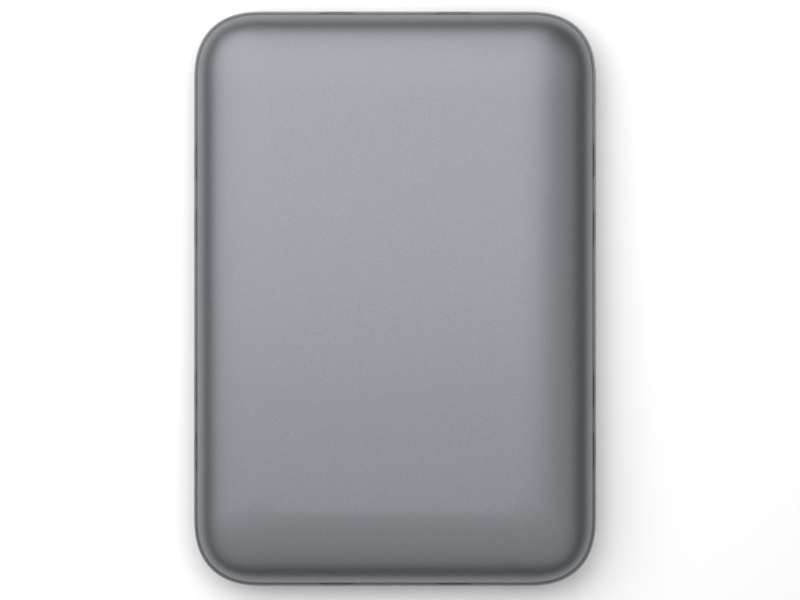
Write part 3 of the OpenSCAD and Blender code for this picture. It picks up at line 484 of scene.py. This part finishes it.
def eased(node, width, steps):
    """A copy of a CAD node, merged, with its sharp edges rounded to that width."""
    bm = bmesh.new()
    bm.from_mesh(NODES[node].data)
    bmesh.ops.remove_doubles(bm, verts=bm.verts, dist=MERGE)
    bmesh.ops.dissolve_limit(bm, angle_limit=FLAT, verts=bm.verts, edges=bm.edges)
    closed = [e for e in bm.edges if len(e.link_faces) == 2]
    bmesh.ops.bevel(
        bm,
        geom=[e for e in closed if e.calc_face_angle(0) > BEVEL_FROM],
        offset=width,
        segments=steps,
        profile=0.5,
        affect="EDGES",
        clamp_overlap=True,
    )
    bmesh.ops.triangulate(bm, faces=[f for f in bm.faces if len(f.verts) > 4])
    mesh = bpy.data.meshes.new(node)
    bm.to_mesh(mesh)
    bm.free()
    mesh.materials.append(finish_of(node))
    return settle(placed(node + "_dressed", mesh))


def turned(name, profile, material, steps=24):
    """Round piece about Z from its profile of radii and heights, top centre to bottom centre."""
    radius = max(r for r, _ in profile)
    return settle(
        grown(
            name,
            section_mesh([(radius - r, z) for r, z in profile]),
            outline_sweep(),
            {
                "Width": 2 * radius,
                "Length": 2 * radius,
                "Corner": radius,
                "Fullness": 2.0,
                "Corner steps": steps,
                "Side steps": 1,
                "Material": material,
            },
        )
    )


def arc(centre, radius, first, last, steps=6):
    """Points of an arc in a profile, between two angles in degrees."""
    angles = [math.radians(first + (last - first) * k / steps) for k in range(steps + 1)]
    return [(centre[0] + radius * math.cos(a), centre[1] + radius * math.sin(a)) for a in angles]


def rounded_outline(half_x, half_z, radius, steps=8):
    """Rectangle with arcs at its corners, anticlockwise."""
    points = []
    for quarter, (sx, sz) in enumerate(((1, 1), (-1, 1), (-1, -1), (1, -1))):
        centre = (sx * (half_x - radius), sz * (half_z - radius))
        points += arc(centre, radius, 90 * quarter, 90 * quarter + 90, steps)
    return points


def hook_frames(ledge):
    """Places of the snap hooks: local +X points out of the wall, local +Y along it."""
    frames = []
    for side in (-1, 1):
        for y in SIDE_HOOKS:
            frames.append((Vector((side * WIDTH / 2, y, ledge)), 0 if side > 0 else math.pi))
        for x in END_HOOKS:
            frames.append((Vector((x, side * LENGTH / 2, ledge)), side * math.pi / 2))
    return [Matrix.Translation(at) @ Matrix.Rotation(turn, 4, "Z") for at, turn in frames]


def curve(start, run, rise, fullness, skin, steps):
    """Section of a cover's curved wall: inset and height over the ledge, from rim to flat.
    The points lie within the outer skin by the wall's thickness given as skin."""
    points = []
    for i in range(steps + 1):
        t = math.pi / 2 * i / steps
        u = max(math.cos(t), 0) ** (2 / fullness)
        v = math.sin(t) ** (2 / fullness)
        nx, nz = u ** (fullness - 1) / (run - start), v ** (fullness - 1) / rise
        m = math.hypot(nx, nz)
        points.append((run - (run - start) * u + skin * nx / m, rise * v - skin * nz / m))
    return points


def flat_to_centre(start, height):
    """Rings that carry a flat cap from an inset to the centre line."""
    end = WIDTH / 2
    return [(start + (end - start) * share, height) for share in RINGS]


def cover_section(points, run, rise, wall):
    """A cover's whole section: its curved wall and rim between the two faces of the flat."""
    return flat_to_centre(run, rise)[::-1] + points + flat_to_centre(run, rise - wall)


def swell_at_clips(piece, sizes, weigh):
    """The rim moves outwards a little over each snap hook. weigh gives each point's share
    from its inset and its height over the ledge."""
    co = np.empty(len(piece.data.vertices) * 3)
    piece.data.vertices.foreach_get("co", co)
    co = co.reshape(-1, 3)
    height = co[:, 2] - sizes.ledge
    for axis, half, spots in ((0, WIDTH / 2, SIDE_HOOKS), (1, LENGTH / 2, END_HOOKS)):
        near = weigh(half - np.abs(co[:, axis]), height)
        for spot in spots:
            along = (co[:, 1 - axis] - spot) / (sizes.clip_length / 2)
            lens = np.clip(1 - along**2, 0, 1) ** 0.5
            push = sizes.clip_bulge * lens * near
            co[:, axis] += np.sign(co[:, axis]) * push
    piece.data.vertices.foreach_set("co", co.ravel())


# Finishes


class Finish(Graph):
    """A material: one Principled shader and the procedural patterns that feed it."""

    def __init__(self, name, **constants):
        self.material = bpy.data.materials.new(name)
        self.material.use_nodes = True
        super().__init__(self.material.node_tree)
        self.shader = self.tree.nodes["Principled BSDF"]
        for key, value in constants.items():
            self.shader.inputs[key.replace("_", " ")].default_value = value
        self.place = self.add("ShaderNodeTexCoord", output="Object")

    def feed(self, socket, value):
        self.tree.links.new(value.socket, self.shader.inputs[socket])

    def noise(self, size, detail=2.0, stretch=None):
        """Noise from 0 to 1 with blobs of about that size in metres."""
        place = self.place
        if stretch:
            place = self.add("ShaderNodeMapping", inputs={"Vector": place, "Scale": stretch})
        return self.add(
            "ShaderNodeTexNoise",
            inputs={"Vector": place, "Scale": 0.5 / size, "Detail": detail},
        )

    def cells(self, size):
        """Distance to the nearest of points that lie about that size apart in metres."""
        return self.add(
            "ShaderNodeTexVoronoi", inputs={"Vector": self.place, "Scale": 1 / size}
        )

    def blend(self, factor, first, second):
        """Colour from first to second as the factor goes from 0 to 1."""
        ends = [v if isinstance(v, Value) else (*v, 1) for v in (first, second)]
        return self.add(
            "ShaderNodeMix",
            {"data_type": "RGBA"},
            {0: factor, 6: ends[0], 7: ends[1]},
            output=2,
        )

    def around(self, tone, tint, spread):
        """Colour that moves round a tint as the tone goes from 0 to 1."""
        low, high = 1 - spread, 1 + spread
        return self.blend(tone, [c * low for c in tint], [min(c * high, 1) for c in tint])

    def bump(self, height, depth):
        """Normal from a height that goes from 0 to 1 over that depth in metres."""
        return self.add("ShaderNodeBump", inputs={"Height": height, "Distance": depth})


def satin_paint(name, paint, look):
    """Satin metallic paint: flakes in the colour, cloudy gloss, and an even fine grain."""
    f = Finish(name, Metallic=look.metal)
    flakes = f.noise(look.grain, detail=1.0)
    clouds = f.noise(CLOUD, detail=3.0)
    flake, cloud = flakes - 0.5, clouds - 0.5
    dark, light = [c * DARKEST for c in paint], [c * LIGHTEST for c in paint]
    f.feed("Base Color", f.blend(flake * FLAKE_TONE + cloud * CLOUD_TONE + 0.5, dark, light))
    f.feed("Roughness", look.roughness + cloud * CLOUD_ROUGHNESS + flake * FLAKE_ROUGHNESS)
    f.feed("Normal", f.bump(f.noise(look.grain, detail=2.0), look.grain_depth))
    return f.material


def moulded(name, tint):
    """Fine moulded plastic with a faintly uneven gloss."""
    f = Finish(name)
    tone = f.noise(2 * MM, detail=3.0)
    f.feed("Base Color", f.around(tone, tint, 0.15))
    f.feed("Roughness", 0.42 + (tone - 0.5) * 0.2)
    f.feed("Normal", f.bump(f.noise(0.12 * MM), 0.004 * MM))
    return f.material


def rubber(name, tint):
    """Matt rubber with a stippled skin and a little dust."""
    f = Finish(name)
    dust = f.noise(3 * MM, detail=4.0)
    skin = f.cells(0.3 * MM)
    f.feed("Base Color", f.around(dust, tint, 0.3))
    f.feed("Roughness", 0.72 + (dust - 0.5) * 0.2)
    f.feed("Normal", f.bump(skin, 0.02 * MM))
    return f.material


def foam(name, tint):
    """Open foam: dark pores between pale struts, the dark and the pale being painted shade that
    follows the foam's relief.
    """
    f = Finish(name, Roughness=0.95)
    pores, fine = f.cells(0.55 * MM), f.cells(0.24 * MM)
    strut = pores * 0.7 + fine * 0.5
    # Painted shade: the colour follows the struts' height, darkest deep in the pores and palest
    # on the struts.
    f.feed("Base Color", f.blend(strut, [c * 0.45 for c in tint], [c * 1.5 for c in tint]))
    f.feed("Normal", f.bump(strut, 0.12 * MM))
    return f.material


def solder_mask(name, tint):
    """Circuit board: tracks under the mask, and tinned holes."""
    f = Finish(name)
    tracks = f.add(
        "ShaderNodeTexBrick",
        {"offset": 0.37, "squash": 0.6},
        {
            "Vector": f.place,
            "Scale": 1 / (9 * MM),
            "Mortar Size": 0.035,
            "Mortar Smooth": 0.2,
            "Brick Width": 0.33,
            "Row Height": 0.11,
        },
        output="Fac",
    )
    holes = f.cells(3.4 * MM) < 0.11
    mask = f.blend(tracks, tint, [c * 1.9 + 0.01 for c in tint])
    f.feed("Base Color", f.blend(holes, mask, (0.78, 0.74, 0.62)))
    f.feed("Metallic", holes * 1.0)
    f.feed("Roughness", 0.3 + f.noise(1.5 * MM) * 0.15)
    f.feed("Normal", f.bump(tracks + f.noise(0.3 * MM) * 0.1, 0.03 * MM))
    return f.material


def plated(name, tint, roughness=0.24):
    """Plated sheet metal with rolling lines and faint blotches."""
    f = Finish(name, Metallic=1.0)
    lines = f.noise(0.1 * MM, detail=3.0, stretch=(1, 0.04, 1))
    blotch = f.noise(2.5 * MM, detail=3.0)
    f.feed("Base Color", f.around(blotch, tint, 0.08))
    f.feed("Roughness", roughness + (lines - 0.5) * 0.2 + (blotch - 0.5) * 0.08)
    f.feed("Normal", f.bump(lines, 0.002 * MM))
    return f.material


def cast(name, tint):
    """Die-cast metal: a grainy skin with flow marks."""
    f = Finish(name, Metallic=1.0)
    skin, flow = f.noise(0.35 * MM, detail=3.0), f.noise(7 * MM, detail=4.0)
    f.feed("Base Color", f.around(flow, tint, 0.12))
    f.feed("Roughness", 0.42 + (skin - 0.5) * 0.25 + (flow - 0.5) * 0.1)
    f.feed("Normal", f.bump(skin, 0.03 * MM))
    return f.material


def polished(name, tint):
    """Mirror-finished disk with the finest of rings round the spindle."""
    f = Finish(name, Metallic=1.0)
    low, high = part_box("spindle_hub")
    x, y, _ = f.apart(f.place)
    across, along = x - (low.x + high.x) / 2, y - (low.y + high.y) / 2
    rings = f.math("SINE", f.math("SQRT", across * across + along * along) / (0.05 * MM))
    f.feed("Base Color", f.around(f.noise(12 * MM), tint, 0.02))
    f.feed("Roughness", 0.045 + rings * 0.015)
    return f.material


def wound(name, tint):
    """Layers of enamelled wire, with painted shade: darker in the grooves between the turns,
    lighter on their crests.
    """
    f = Finish(name, Metallic=0.9)
    height = f.apart(f.place)[2]
    turns_and_groove_shade = f.math("SINE", height * (2 * math.pi / (0.12 * MM))) * 0.5 + 0.5
    strands = f.noise(0.14 * MM, detail=2.0)
    # Painted shade: the colour follows the wire's relief, darker in the grooves and lighter on
    # the crests.
    f.feed("Base Color", f.around(turns_and_groove_shade * 0.5 + strands * 0.5, tint, 0.35))
    f.feed("Roughness", 0.26 + strands * 0.12)
    f.feed("Normal", f.bump(turns_and_groove_shade * 0.5 + strands * 0.5, 0.03 * MM))
    return f.material


def sintered(name, tint, metal):
    """Pressed powder with open pores, darkened by painted shade."""
    f = Finish(name, Metallic=metal)
    pores = f.cells(0.16 * MM)
    # Painted shade: the colour follows the pores' depth, darkest at the bottom of each pore.
    f.feed("Base Color", f.around(pores, tint, 0.25))
    f.feed("Roughness", 0.36 + f.noise(0.6 * MM) * 0.15)
    f.feed("Normal", f.bump(pores, 0.01 * MM))
    return f.material


def clear(name, tint):
    """Clear moulded plastic with a faintly wavy skin."""
    f = Finish(name, Transmission_Weight=0.9, IOR=1.49)
    waves = f.noise(1.2 * MM)
    f.feed("Base Color", f.around(waves, tint, 0.03))
    f.feed("Roughness", 0.06 + waves * 0.06)
    f.feed("Normal", f.bump(waves, 0.004 * MM))
    return f.material


FINISHES = {
    "rubber": rubber,
    "foam": foam,
    "circuit_board": solder_mask,
    "black_plastic": moulded,
    "plated_steel": plated,
    "gold_contact": lambda name, tint: plated(name, tint, 0.18),
    "clear_plastic": clear,
    "cast_aluminium": cast,
    "stamped_lid": lambda name, tint: plated(name, tint, 0.3),
    "platter_mirror": polished,
    "copper_wire": wound,
    "bronze": lambda name, tint: sintered(name, tint, 1.0),
    "ceramic_head": lambda name, tint: sintered(name, tint, 0.0),
    "ramp_plastic": moulded,
}


def finish_of(node):
    """The finish of a node's slot, made at its first use."""
    slot = SLOTS[node]
    name = "finish_" + slot
    return bpy.data.materials.get(name) or FINISHES[slot](name, TINTS[slot])


# Operators


def done(piece, body, slot, *nodes):
    """Hides the nodes that a finished piece stands for and puts the piece on its body. The slot
    is not used.
    """
    if nodes:
        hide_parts(*nodes)
    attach(piece, body)


def swept_cover(name, points, material, sizes):
    return grown(
        name,
        section_mesh(points),
        outline_sweep(),
        {
            "Width": WIDTH,
            "Length": LENGTH,
            "Corner": sizes.corner,
            "Fullness": sizes.corner_fullness,
            "Corner steps": sizes.corner_steps,
            "Side steps": sizes.side_steps,
            "Material": material,
        },
    )


class DRIVE_OT_top_cover(bpy.types.Operator):
    """Sweep the domed top cover and give it its hooks and ribs"""

    bl_idname = "drive.top_cover"
    bl_label = "Top cover"

    def execute(self, context):
        sizes, look = context.scene.drive_housing, context.scene.drive_finish
        start, small = sizes.lip_thickness + sizes.seam, sizes.edge / 3
        run, rise, circle = sizes.dome_run, TOP - sizes.ledge, 2
        outer = curve(start, run, rise, circle, 0, sizes.curve_steps)
        inner = curve(start, run, rise, circle, sizes.wall, sizes.curve_steps)

        # The rim's own rows stand in for the curve's first two. The uppermost lies over the
        # swellings, so that the dome above them keeps its shape.
        swollen, over = sizes.clip_rise * 1.2, sizes.clip_rise * 1.4
        rim = [(start, height) for height in (over, sizes.clip_rise, small * 2)]
        rim.append((start + small, 0))
        section = cover_section(outer[:1:-1] + rim + inner, run, rise, sizes.wall)
        section = [(inset, sizes.ledge + height) for inset, height in section]
        material = satin_paint("satin_top", look.paint, look)
        piece = swept_cover("top_cover_shell", section, material, sizes)
        settle(piece)
        reach = start + sizes.edge

        def rim_share(inset, height):
            return (inset < reach) * (height < swollen)

        swell_at_clips(piece, sizes, rim_share)
        root, ceiling = sizes.wall + HOOK_ROOT, TOP - sizes.wall
        hook = [(x * MM - root, z * MM) for x, z in HOOK]
        solids = [prism(hook, HOOK_HALF, at) for at in hook_frames(sizes.ledge)]
        solids += [
            block(
                (x - RIB_HALF, -LENGTH / 4, ceiling - TOP_RIB_DROP),
                (x + RIB_HALF, LENGTH / 4, ceiling + TOP_RIB_ROOT),
            )
            for x in (-TOP_RIB_X, TOP_RIB_X)
        ]
        combine(piece, "UNION", solids)
        settle(piece)
        done(piece, "case", "cover_plastic", "top_cover")
        return {"FINISHED"}


class DRIVE_OT_bottom_cover(bpy.types.Operator):
    """Sweep the bottom cover with its lip, and cut its recesses, pockets and openings"""

    bl_idname = "drive.bottom_cover"
    bl_label = "Bottom cover"

    def execute(self, context):
        sizes, look = context.scene.drive_housing, context.scene.drive_finish
        run, drop = sizes.base_run, sizes.ledge - UNDERSIDE
        fullness, steps = sizes.base_fullness, sizes.curve_steps
        outer = curve(0, run, drop, fullness, 0, steps)
        inner = curve(0, run, drop, fullness, sizes.wall, steps)
        edge, thick, high = sizes.edge, sizes.lip_thickness, sizes.lip_height
        small = edge / 3
        lip = arc((edge, edge - high), edge, 180, 270, 4)
        lip += [(thick - small, -high), (thick, -high + small), (thick, 0)]
        section = cover_section(outer[::-1] + lip + inner, run, drop, sizes.wall)
        section = [(inset, sizes.ledge - depth) for inset, depth in section]
        material = satin_paint("satin_base", [c * BASE_TONE for c in look.paint], look)
        piece = swept_cover("bottom_cover_shell", section, material, sizes)
        settle(piece)

        def lip_share(inset, height):
            share = np.clip((inset - edge) / (thick - edge), 0, LIP_SWELL)
            return share * (inset < thick * 1.1) * (height > -small)

        swell_at_clips(piece, sizes, lip_share)
        buried = UNDERSIDE + sizes.wall / 2
        combine(piece, "UNION", self.ribs(buried) + self.ledges(buried))
        for posts in self.posts(buried):
            combine(piece, "UNION", posts)
        combine(piece, "DIFFERENCE", self.cuts(sizes))
        settle(piece)
        done(piece, "case", "base_plastic", "bottom_cover")
        return {"FINISHED"}

    def ribs(self, buried):
        """Cross ribs under the disk drive."""
        low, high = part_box("disk_base")
        centre, run = middle("disk_base")[1], high.y - low.y
        return [
            block(
                (low.x / 2, centre + share * run - RIB_HALF, buried),
                (high.x / 2, centre + share * run + RIB_HALF, low.z - BASE_RIB_GAP),
            )
            for share in BASE_RIB_SHARES
        ]

    def ledges(self, buried):
        """A ledge under each bumper, close beside the disk drive."""
        solids = []
        for corner in CORNERS:
            bumper = "bumper_" + corner
            x, y, _ = middle(bumper)
            side = 1 if x > 0 else -1
            inner = side * (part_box("disk_base")[1].x + LEDGE_GAP)
            left, right = sorted((inner, inner + side * LEDGE_WIDTH))
            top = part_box(bumper)[0].z
            solids.append(block((left, y - LEDGE_HALF, buried), (right, y + LEDGE_HALF, top)))
        return solids

    def posts(self, buried):
        """The posts that carry the bridge board, then the pins on them that locate it."""
        low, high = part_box("bridge_board")
        spots = (
            (low.x + 2.5 * MM, low.y + 2.5 * MM),
            (high.x - 2.4 * MM, high.y - 1.9 * MM),
        )
        return [
            [round_bar(radius, buried, top, Matrix.Translation((x, y, 0))) for x, y in spots]
            for radius, top in ((POST_RADIUS, low.z), (PIN_RADIUS, high.z))
        ]

    def cuts(self, sizes):
        """The feet's recesses, the hooks' pockets and the openings for socket and light."""
        solids = []
        for corner in CORNERS:
            foot = "foot_" + corner
            low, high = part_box(foot)
            x, y, _ = middle(foot)
            radius = (high.x - low.x) / 2 + FOOT_GAP
            at = Matrix.Translation((x, y, 0))
            solids.append(round_bar(radius, UNDERSIDE - MM, high.z, at, 2 * FACETS))
        pocket = [(x * MM, z * MM) for x, z in POCKET]
        solids += [prism(pocket, POCKET_HALF, at) for at in hook_frames(sizes.ledge)]
        low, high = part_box("port_shell")
        half_x, half_z = (high.x - low.x) / 2 + SOCKET_GAP, (high.z - low.z) / 2 + SOCKET_GAP
        window = rounded_outline(half_x, half_z, SOCKET_ROUNDING)
        x, _, z = middle("port_shell")
        through = 2 * sizes.wall
        solids.append(prism(window, through, Matrix.Translation((x, LENGTH / 2, z))))
        x, _, z = middle("light_pipe")
        at = Matrix.Translation((x, LENGTH / 2, z)) @ Matrix.Rotation(math.pi / 2, 4, "X")
        solids.append(round_bar(LIGHT_HOLE, -through, through, at))
        return solids


class DRIVE_OT_feet(bpy.types.Operator):
    """Turn the four rubber feet"""

    bl_idname = "drive.feet"
    bl_label = "Feet"

    def execute(self, context):
        edge, slope, depth = 0.35 * MM, 0.3 * MM, 0.12 * MM
        for corner in CORNERS:
            node = "foot_" + corner
            low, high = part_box(node)
            x, y, _ = middle(node)
            radius = (high.x - low.x) / 2
            dish = radius * 0.55
            profile = [(0, high.z), (radius, high.z), (radius, edge)]
            profile += arc((radius - edge, edge), edge, 0, -90)[1:]
            profile += [(dish + slope, 0), (dish, depth), (0, depth)]
            piece = turned(node + "_rubber", profile, finish_of(node))
            piece.data.transform(Matrix.Translation((x, y, 0)))
            done(piece, NODES[node]["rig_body"], SLOTS[node], node)
        return {"FINISHED"}


class DRIVE_OT_light_pipe(bpy.types.Operator):
    """Turn the light pipe with its collar and domed lens"""

    bl_idname = "drive.light_pipe"
    bl_label = "Light pipe"

    def execute(self, context):
        low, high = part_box("light_pipe")
        run, collar = high.y - low.y, (high.z - low.z) / 2
        radius, dome, thick = collar - 0.25 * MM, 0.3 * MM, 0.5 * MM
        angles = [math.radians(15 * k) for k in range(7)]
        lens = [(radius * math.sin(a), run - dome + dome * math.cos(a)) for a in angles]
        shoulder = [(radius, thick), (collar, thick), (collar, 0), (0, 0)]
        piece = turned("light_pipe_lens", lens + shoulder, finish_of("light_pipe"), 12)
        x, _, z = middle("light_pipe")
        at = Matrix.Translation((x, low.y, z))
        piece.data.transform(at @ Matrix.Rotation(-math.pi / 2, 4, "X"))
        done(piece, "case", SLOTS["light_pipe"], "light_pipe")
        return {"FINISHED"}


class Easing:
    """What the inner pieces' operators share. Each node in widths gets a copy with its edges
    rounded to that many millimetres. A node in kept is too thin for it and gets its finish."""

    widths = {}
    kept = ()

    def execute(self, context):
        for node, width in self.widths.items():
            piece = eased(node, width * MM, 3 if width > BROAD_EDGE else 2)
            done(piece, NODES[node]["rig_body"], SLOTS[node], node)
        for node in self.kept:
            NODES[node].material_slots[0].material = finish_of(node)
        return {"FINISHED"}


class DRIVE_OT_bumpers(Easing, bpy.types.Operator):
    """Round the four rubber bumpers beside the disk drive"""

    bl_idname = "drive.bumpers"
    bl_label = "Bumpers"
    widths = {"bumper_" + corner: 0.5 for corner in CORNERS}


class DRIVE_OT_foam_pad(Easing, bpy.types.Operator):
    """Round the foam pad over the disk drive"""

    bl_idname = "drive.foam_pad"
    bl_label = "Foam pad"
    widths = {"foam_pad": 0.6}


class DRIVE_OT_bridge_board(Easing, bpy.types.Operator):
    """Ease the bridge board and what is soldered to it"""

    bl_idname = "drive.bridge_board"
    bl_label = "Bridge board"
    widths = {
        "bridge_board": 0.06,
        "bridge_receptacle": 0.12,
        "bridge_chip": 0.05,
        "memory_chip": 0.05,
        "bridge_crystal": 0.15,
        "power_inductor": 0.1,
        "activity_lamp": 0.12,
    }


class DRIVE_OT_data_socket(Easing, bpy.types.Operator):
    """Ease the data socket's shell, insulator and contacts"""

    bl_idname = "drive.data_socket"
    bl_label = "Data socket"
    widths = {"port_shell": 0.06, "port_tongue": 0.06, "port_contacts": 0.02}


class DRIVE_OT_disk_casing(Easing, bpy.types.Operator):
    """Ease the disk drive's casting, lid and gasket"""

    bl_idname = "drive.disk_casing"
    bl_label = "Disk casing"
    widths = {"disk_base": 0.1, "disk_lid": 0.05, "lid_gasket": 0.08}


class DRIVE_OT_spindle_motor(Easing, bpy.types.Operator):
    """Ease the parts of the spindle motor"""

    bl_idname = "drive.spindle_motor"
    bl_label = "Spindle motor"
    widths = {
        "stator_core": 0.05,
        "stator_coils": 0.06,
        "spindle_sleeve": 0.08,
        "spindle_hub": 0.08,
        "rotor_magnet": 0.08,
    }


class DRIVE_OT_platters(Easing, bpy.types.Operator):
    """Ease the platters and what holds them on the hub"""

    bl_idname = "drive.platters"
    bl_label = "Platters"
    widths = {
        "platter_lower": 0.08,
        "platter_upper": 0.08,
        "platter_spacer": 0.06,
        "platter_clamp": 0.05,
        "clamp_screw": 0.08,
    }


class DRIVE_OT_arms(Easing, bpy.types.Operator):
    """Ease the arms with their pivot, coil and heads, and finish the suspensions"""

    bl_idname = "drive.arms"
    bl_label = "Arms"
    widths = {
        "arm_block": 0.06,
        "pivot_shaft": 0.1,
        "pivot_sleeve": 0.06,
        "voice_coil": 0.25,
        "heads": 0.04,
    }
    kept = ("suspension_1", "suspension_2", "suspension_3", "suspension_4")


class DRIVE_OT_magnets(Easing, bpy.types.Operator):
    """Ease the voice coil's magnets and yokes"""

    bl_idname = "drive.magnets"
    bl_label = "Magnets"
    widths = {"magnet_lower": 0.1, "magnet_upper": 0.1, "yoke_lower": 0.12, "yoke_upper": 0.15}


class DRIVE_OT_casing_fittings(Easing, bpy.types.Operator):
    """Ease the ramp, stops, filter and lead that are set into the casting"""

    bl_idname = "drive.casing_fittings"
    bl_label = "Casing fittings"
    widths = {"load_ramp": 0.06, "crash_stops": 0.15, "air_filter": 0.4, "flex_clip": 0.04}


class DRIVE_OT_drive_board(Easing, bpy.types.Operator):
    """Ease the disk drive's own board and what is soldered to it"""

    bl_idname = "drive.drive_board"
    bl_label = "Drive board"
    widths = {
        "drive_board": 0.06,
        "disk_connector": 0.1,
        "controller_chip": 0.05,
        "motor_chip": 0.05,
    }


class DRIVE_OT_screws(Easing, bpy.types.Operator):
    """Ease the screws of the lid and of the drive board"""

    bl_idname = "drive.screws"
    bl_label = "Screws"
    widths = {"lid_screws": 0.05, "board_screws": 0.06}


class DRIVE_OT_studio(bpy.types.Operator):
    """Set up the pale floor, the soft light and the camera"""

    bl_idname = "drive.studio"
    bl_label = "Studio"

    def execute(self, context):
        scene, studio = context.scene, context.scene.drive_studio
        scene.view_settings.view_transform = "Standard"
        mesh = bpy.data.meshes.new("floor")
        corners = [(x * FLOOR_HALF, y * FLOOR_HALF, 0) for x, y in UNIT_SQUARE]
        mesh.from_pydata(corners, [], [(0, 1, 2, 3)])
        floor = placed("floor", mesh)
        paper = Finish("floor_paper", Roughness=0.9, Base_Color=(0.9, 0.9, 0.9, 1))
        paper.feed("Normal", paper.bump(paper.noise(0.4 * MM), 0.01 * MM))
        floor.data.materials.append(paper.material)

        world = scene.world or bpy.data.worlds.new("World")
        scene.world = world
        world.use_nodes = True
        background = world.node_tree.nodes["Background"]
        background.inputs["Color"].default_value = (1, 1, 1, 1)
        background.inputs["Strength"].default_value = studio.surround

        for name, power, centre, size in SOFTBOXES:
            light = bpy.data.lights.new(name, "AREA")
            light.shape, (light.size, light.size_y) = "RECTANGLE", size
            light.energy = getattr(studio, power)
            softbox = bpy.data.objects.new(name, light)
            softbox.location = (*centre, studio.softbox_height)
            softbox.visible_camera = False
            scene.collection.objects.link(softbox)

        camera = bpy.data.objects.new("camera", bpy.data.cameras.new("camera"))
        camera.data.lens, camera.data.sensor_width = studio.lens, SENSOR_WIDTH
        height = scene.drive_housing.ledge + studio.camera_height
        camera.location = (studio.camera_x, -studio.camera_back, height)
        scene.collection.objects.link(camera)
        scene.camera = camera
        return {"FINISHED"}


class DRIVE_PT_panel(bpy.types.Panel):
    """Builds the drive's pieces one by one"""

    bl_label = "Hard drive"
    bl_idname = "DRIVE_PT_panel"
    bl_space_type = "VIEW_3D"
    bl_region_type = "UI"
    bl_category = "Hard drive"

    def draw(self, context):
        for step in STEPS:
            self.layout.operator(step.bl_idname)
        for group, name in GROUPS:
            for setting in group.__annotations__:
                self.layout.prop(getattr(context.scene, name), setting)


STEPS = (
    DRIVE_OT_studio,
    DRIVE_OT_top_cover,
    DRIVE_OT_bottom_cover,
    DRIVE_OT_feet,
    DRIVE_OT_light_pipe,
    DRIVE_OT_bumpers,
    DRIVE_OT_foam_pad,
    DRIVE_OT_bridge_board,
    DRIVE_OT_data_socket,
    DRIVE_OT_disk_casing,
    DRIVE_OT_spindle_motor,
    DRIVE_OT_platters,
    DRIVE_OT_arms,
    DRIVE_OT_magnets,
    DRIVE_OT_casing_fittings,
    DRIVE_OT_drive_board,
    DRIVE_OT_screws,
)
GROUPS = (
    (HousingSizes, "drive_housing"),
    (HousingFinish, "drive_finish"),
    (StudioSettings, "drive_studio"),
)


def register():
    for group, name in GROUPS:
        bpy.utils.register_class(group)
        setattr(bpy.types.Scene, name, PointerProperty(type=group))
    for item in (*STEPS, DRIVE_PT_panel):
        bpy.utils.register_class(item)


def unregister():
    for item in (DRIVE_PT_panel, *reversed(STEPS)):
        bpy.utils.unregister_class(item)
    for group, name in reversed(GROUPS):
        delattr(bpy.types.Scene, name)
        bpy.utils.unregister_class(group)


def main():
    register()
    for step in STEPS:
        group, name = step.bl_idname.split(".")
        getattr(getattr(bpy.ops, group), name)()


if __name__ == "__main__":
    main()
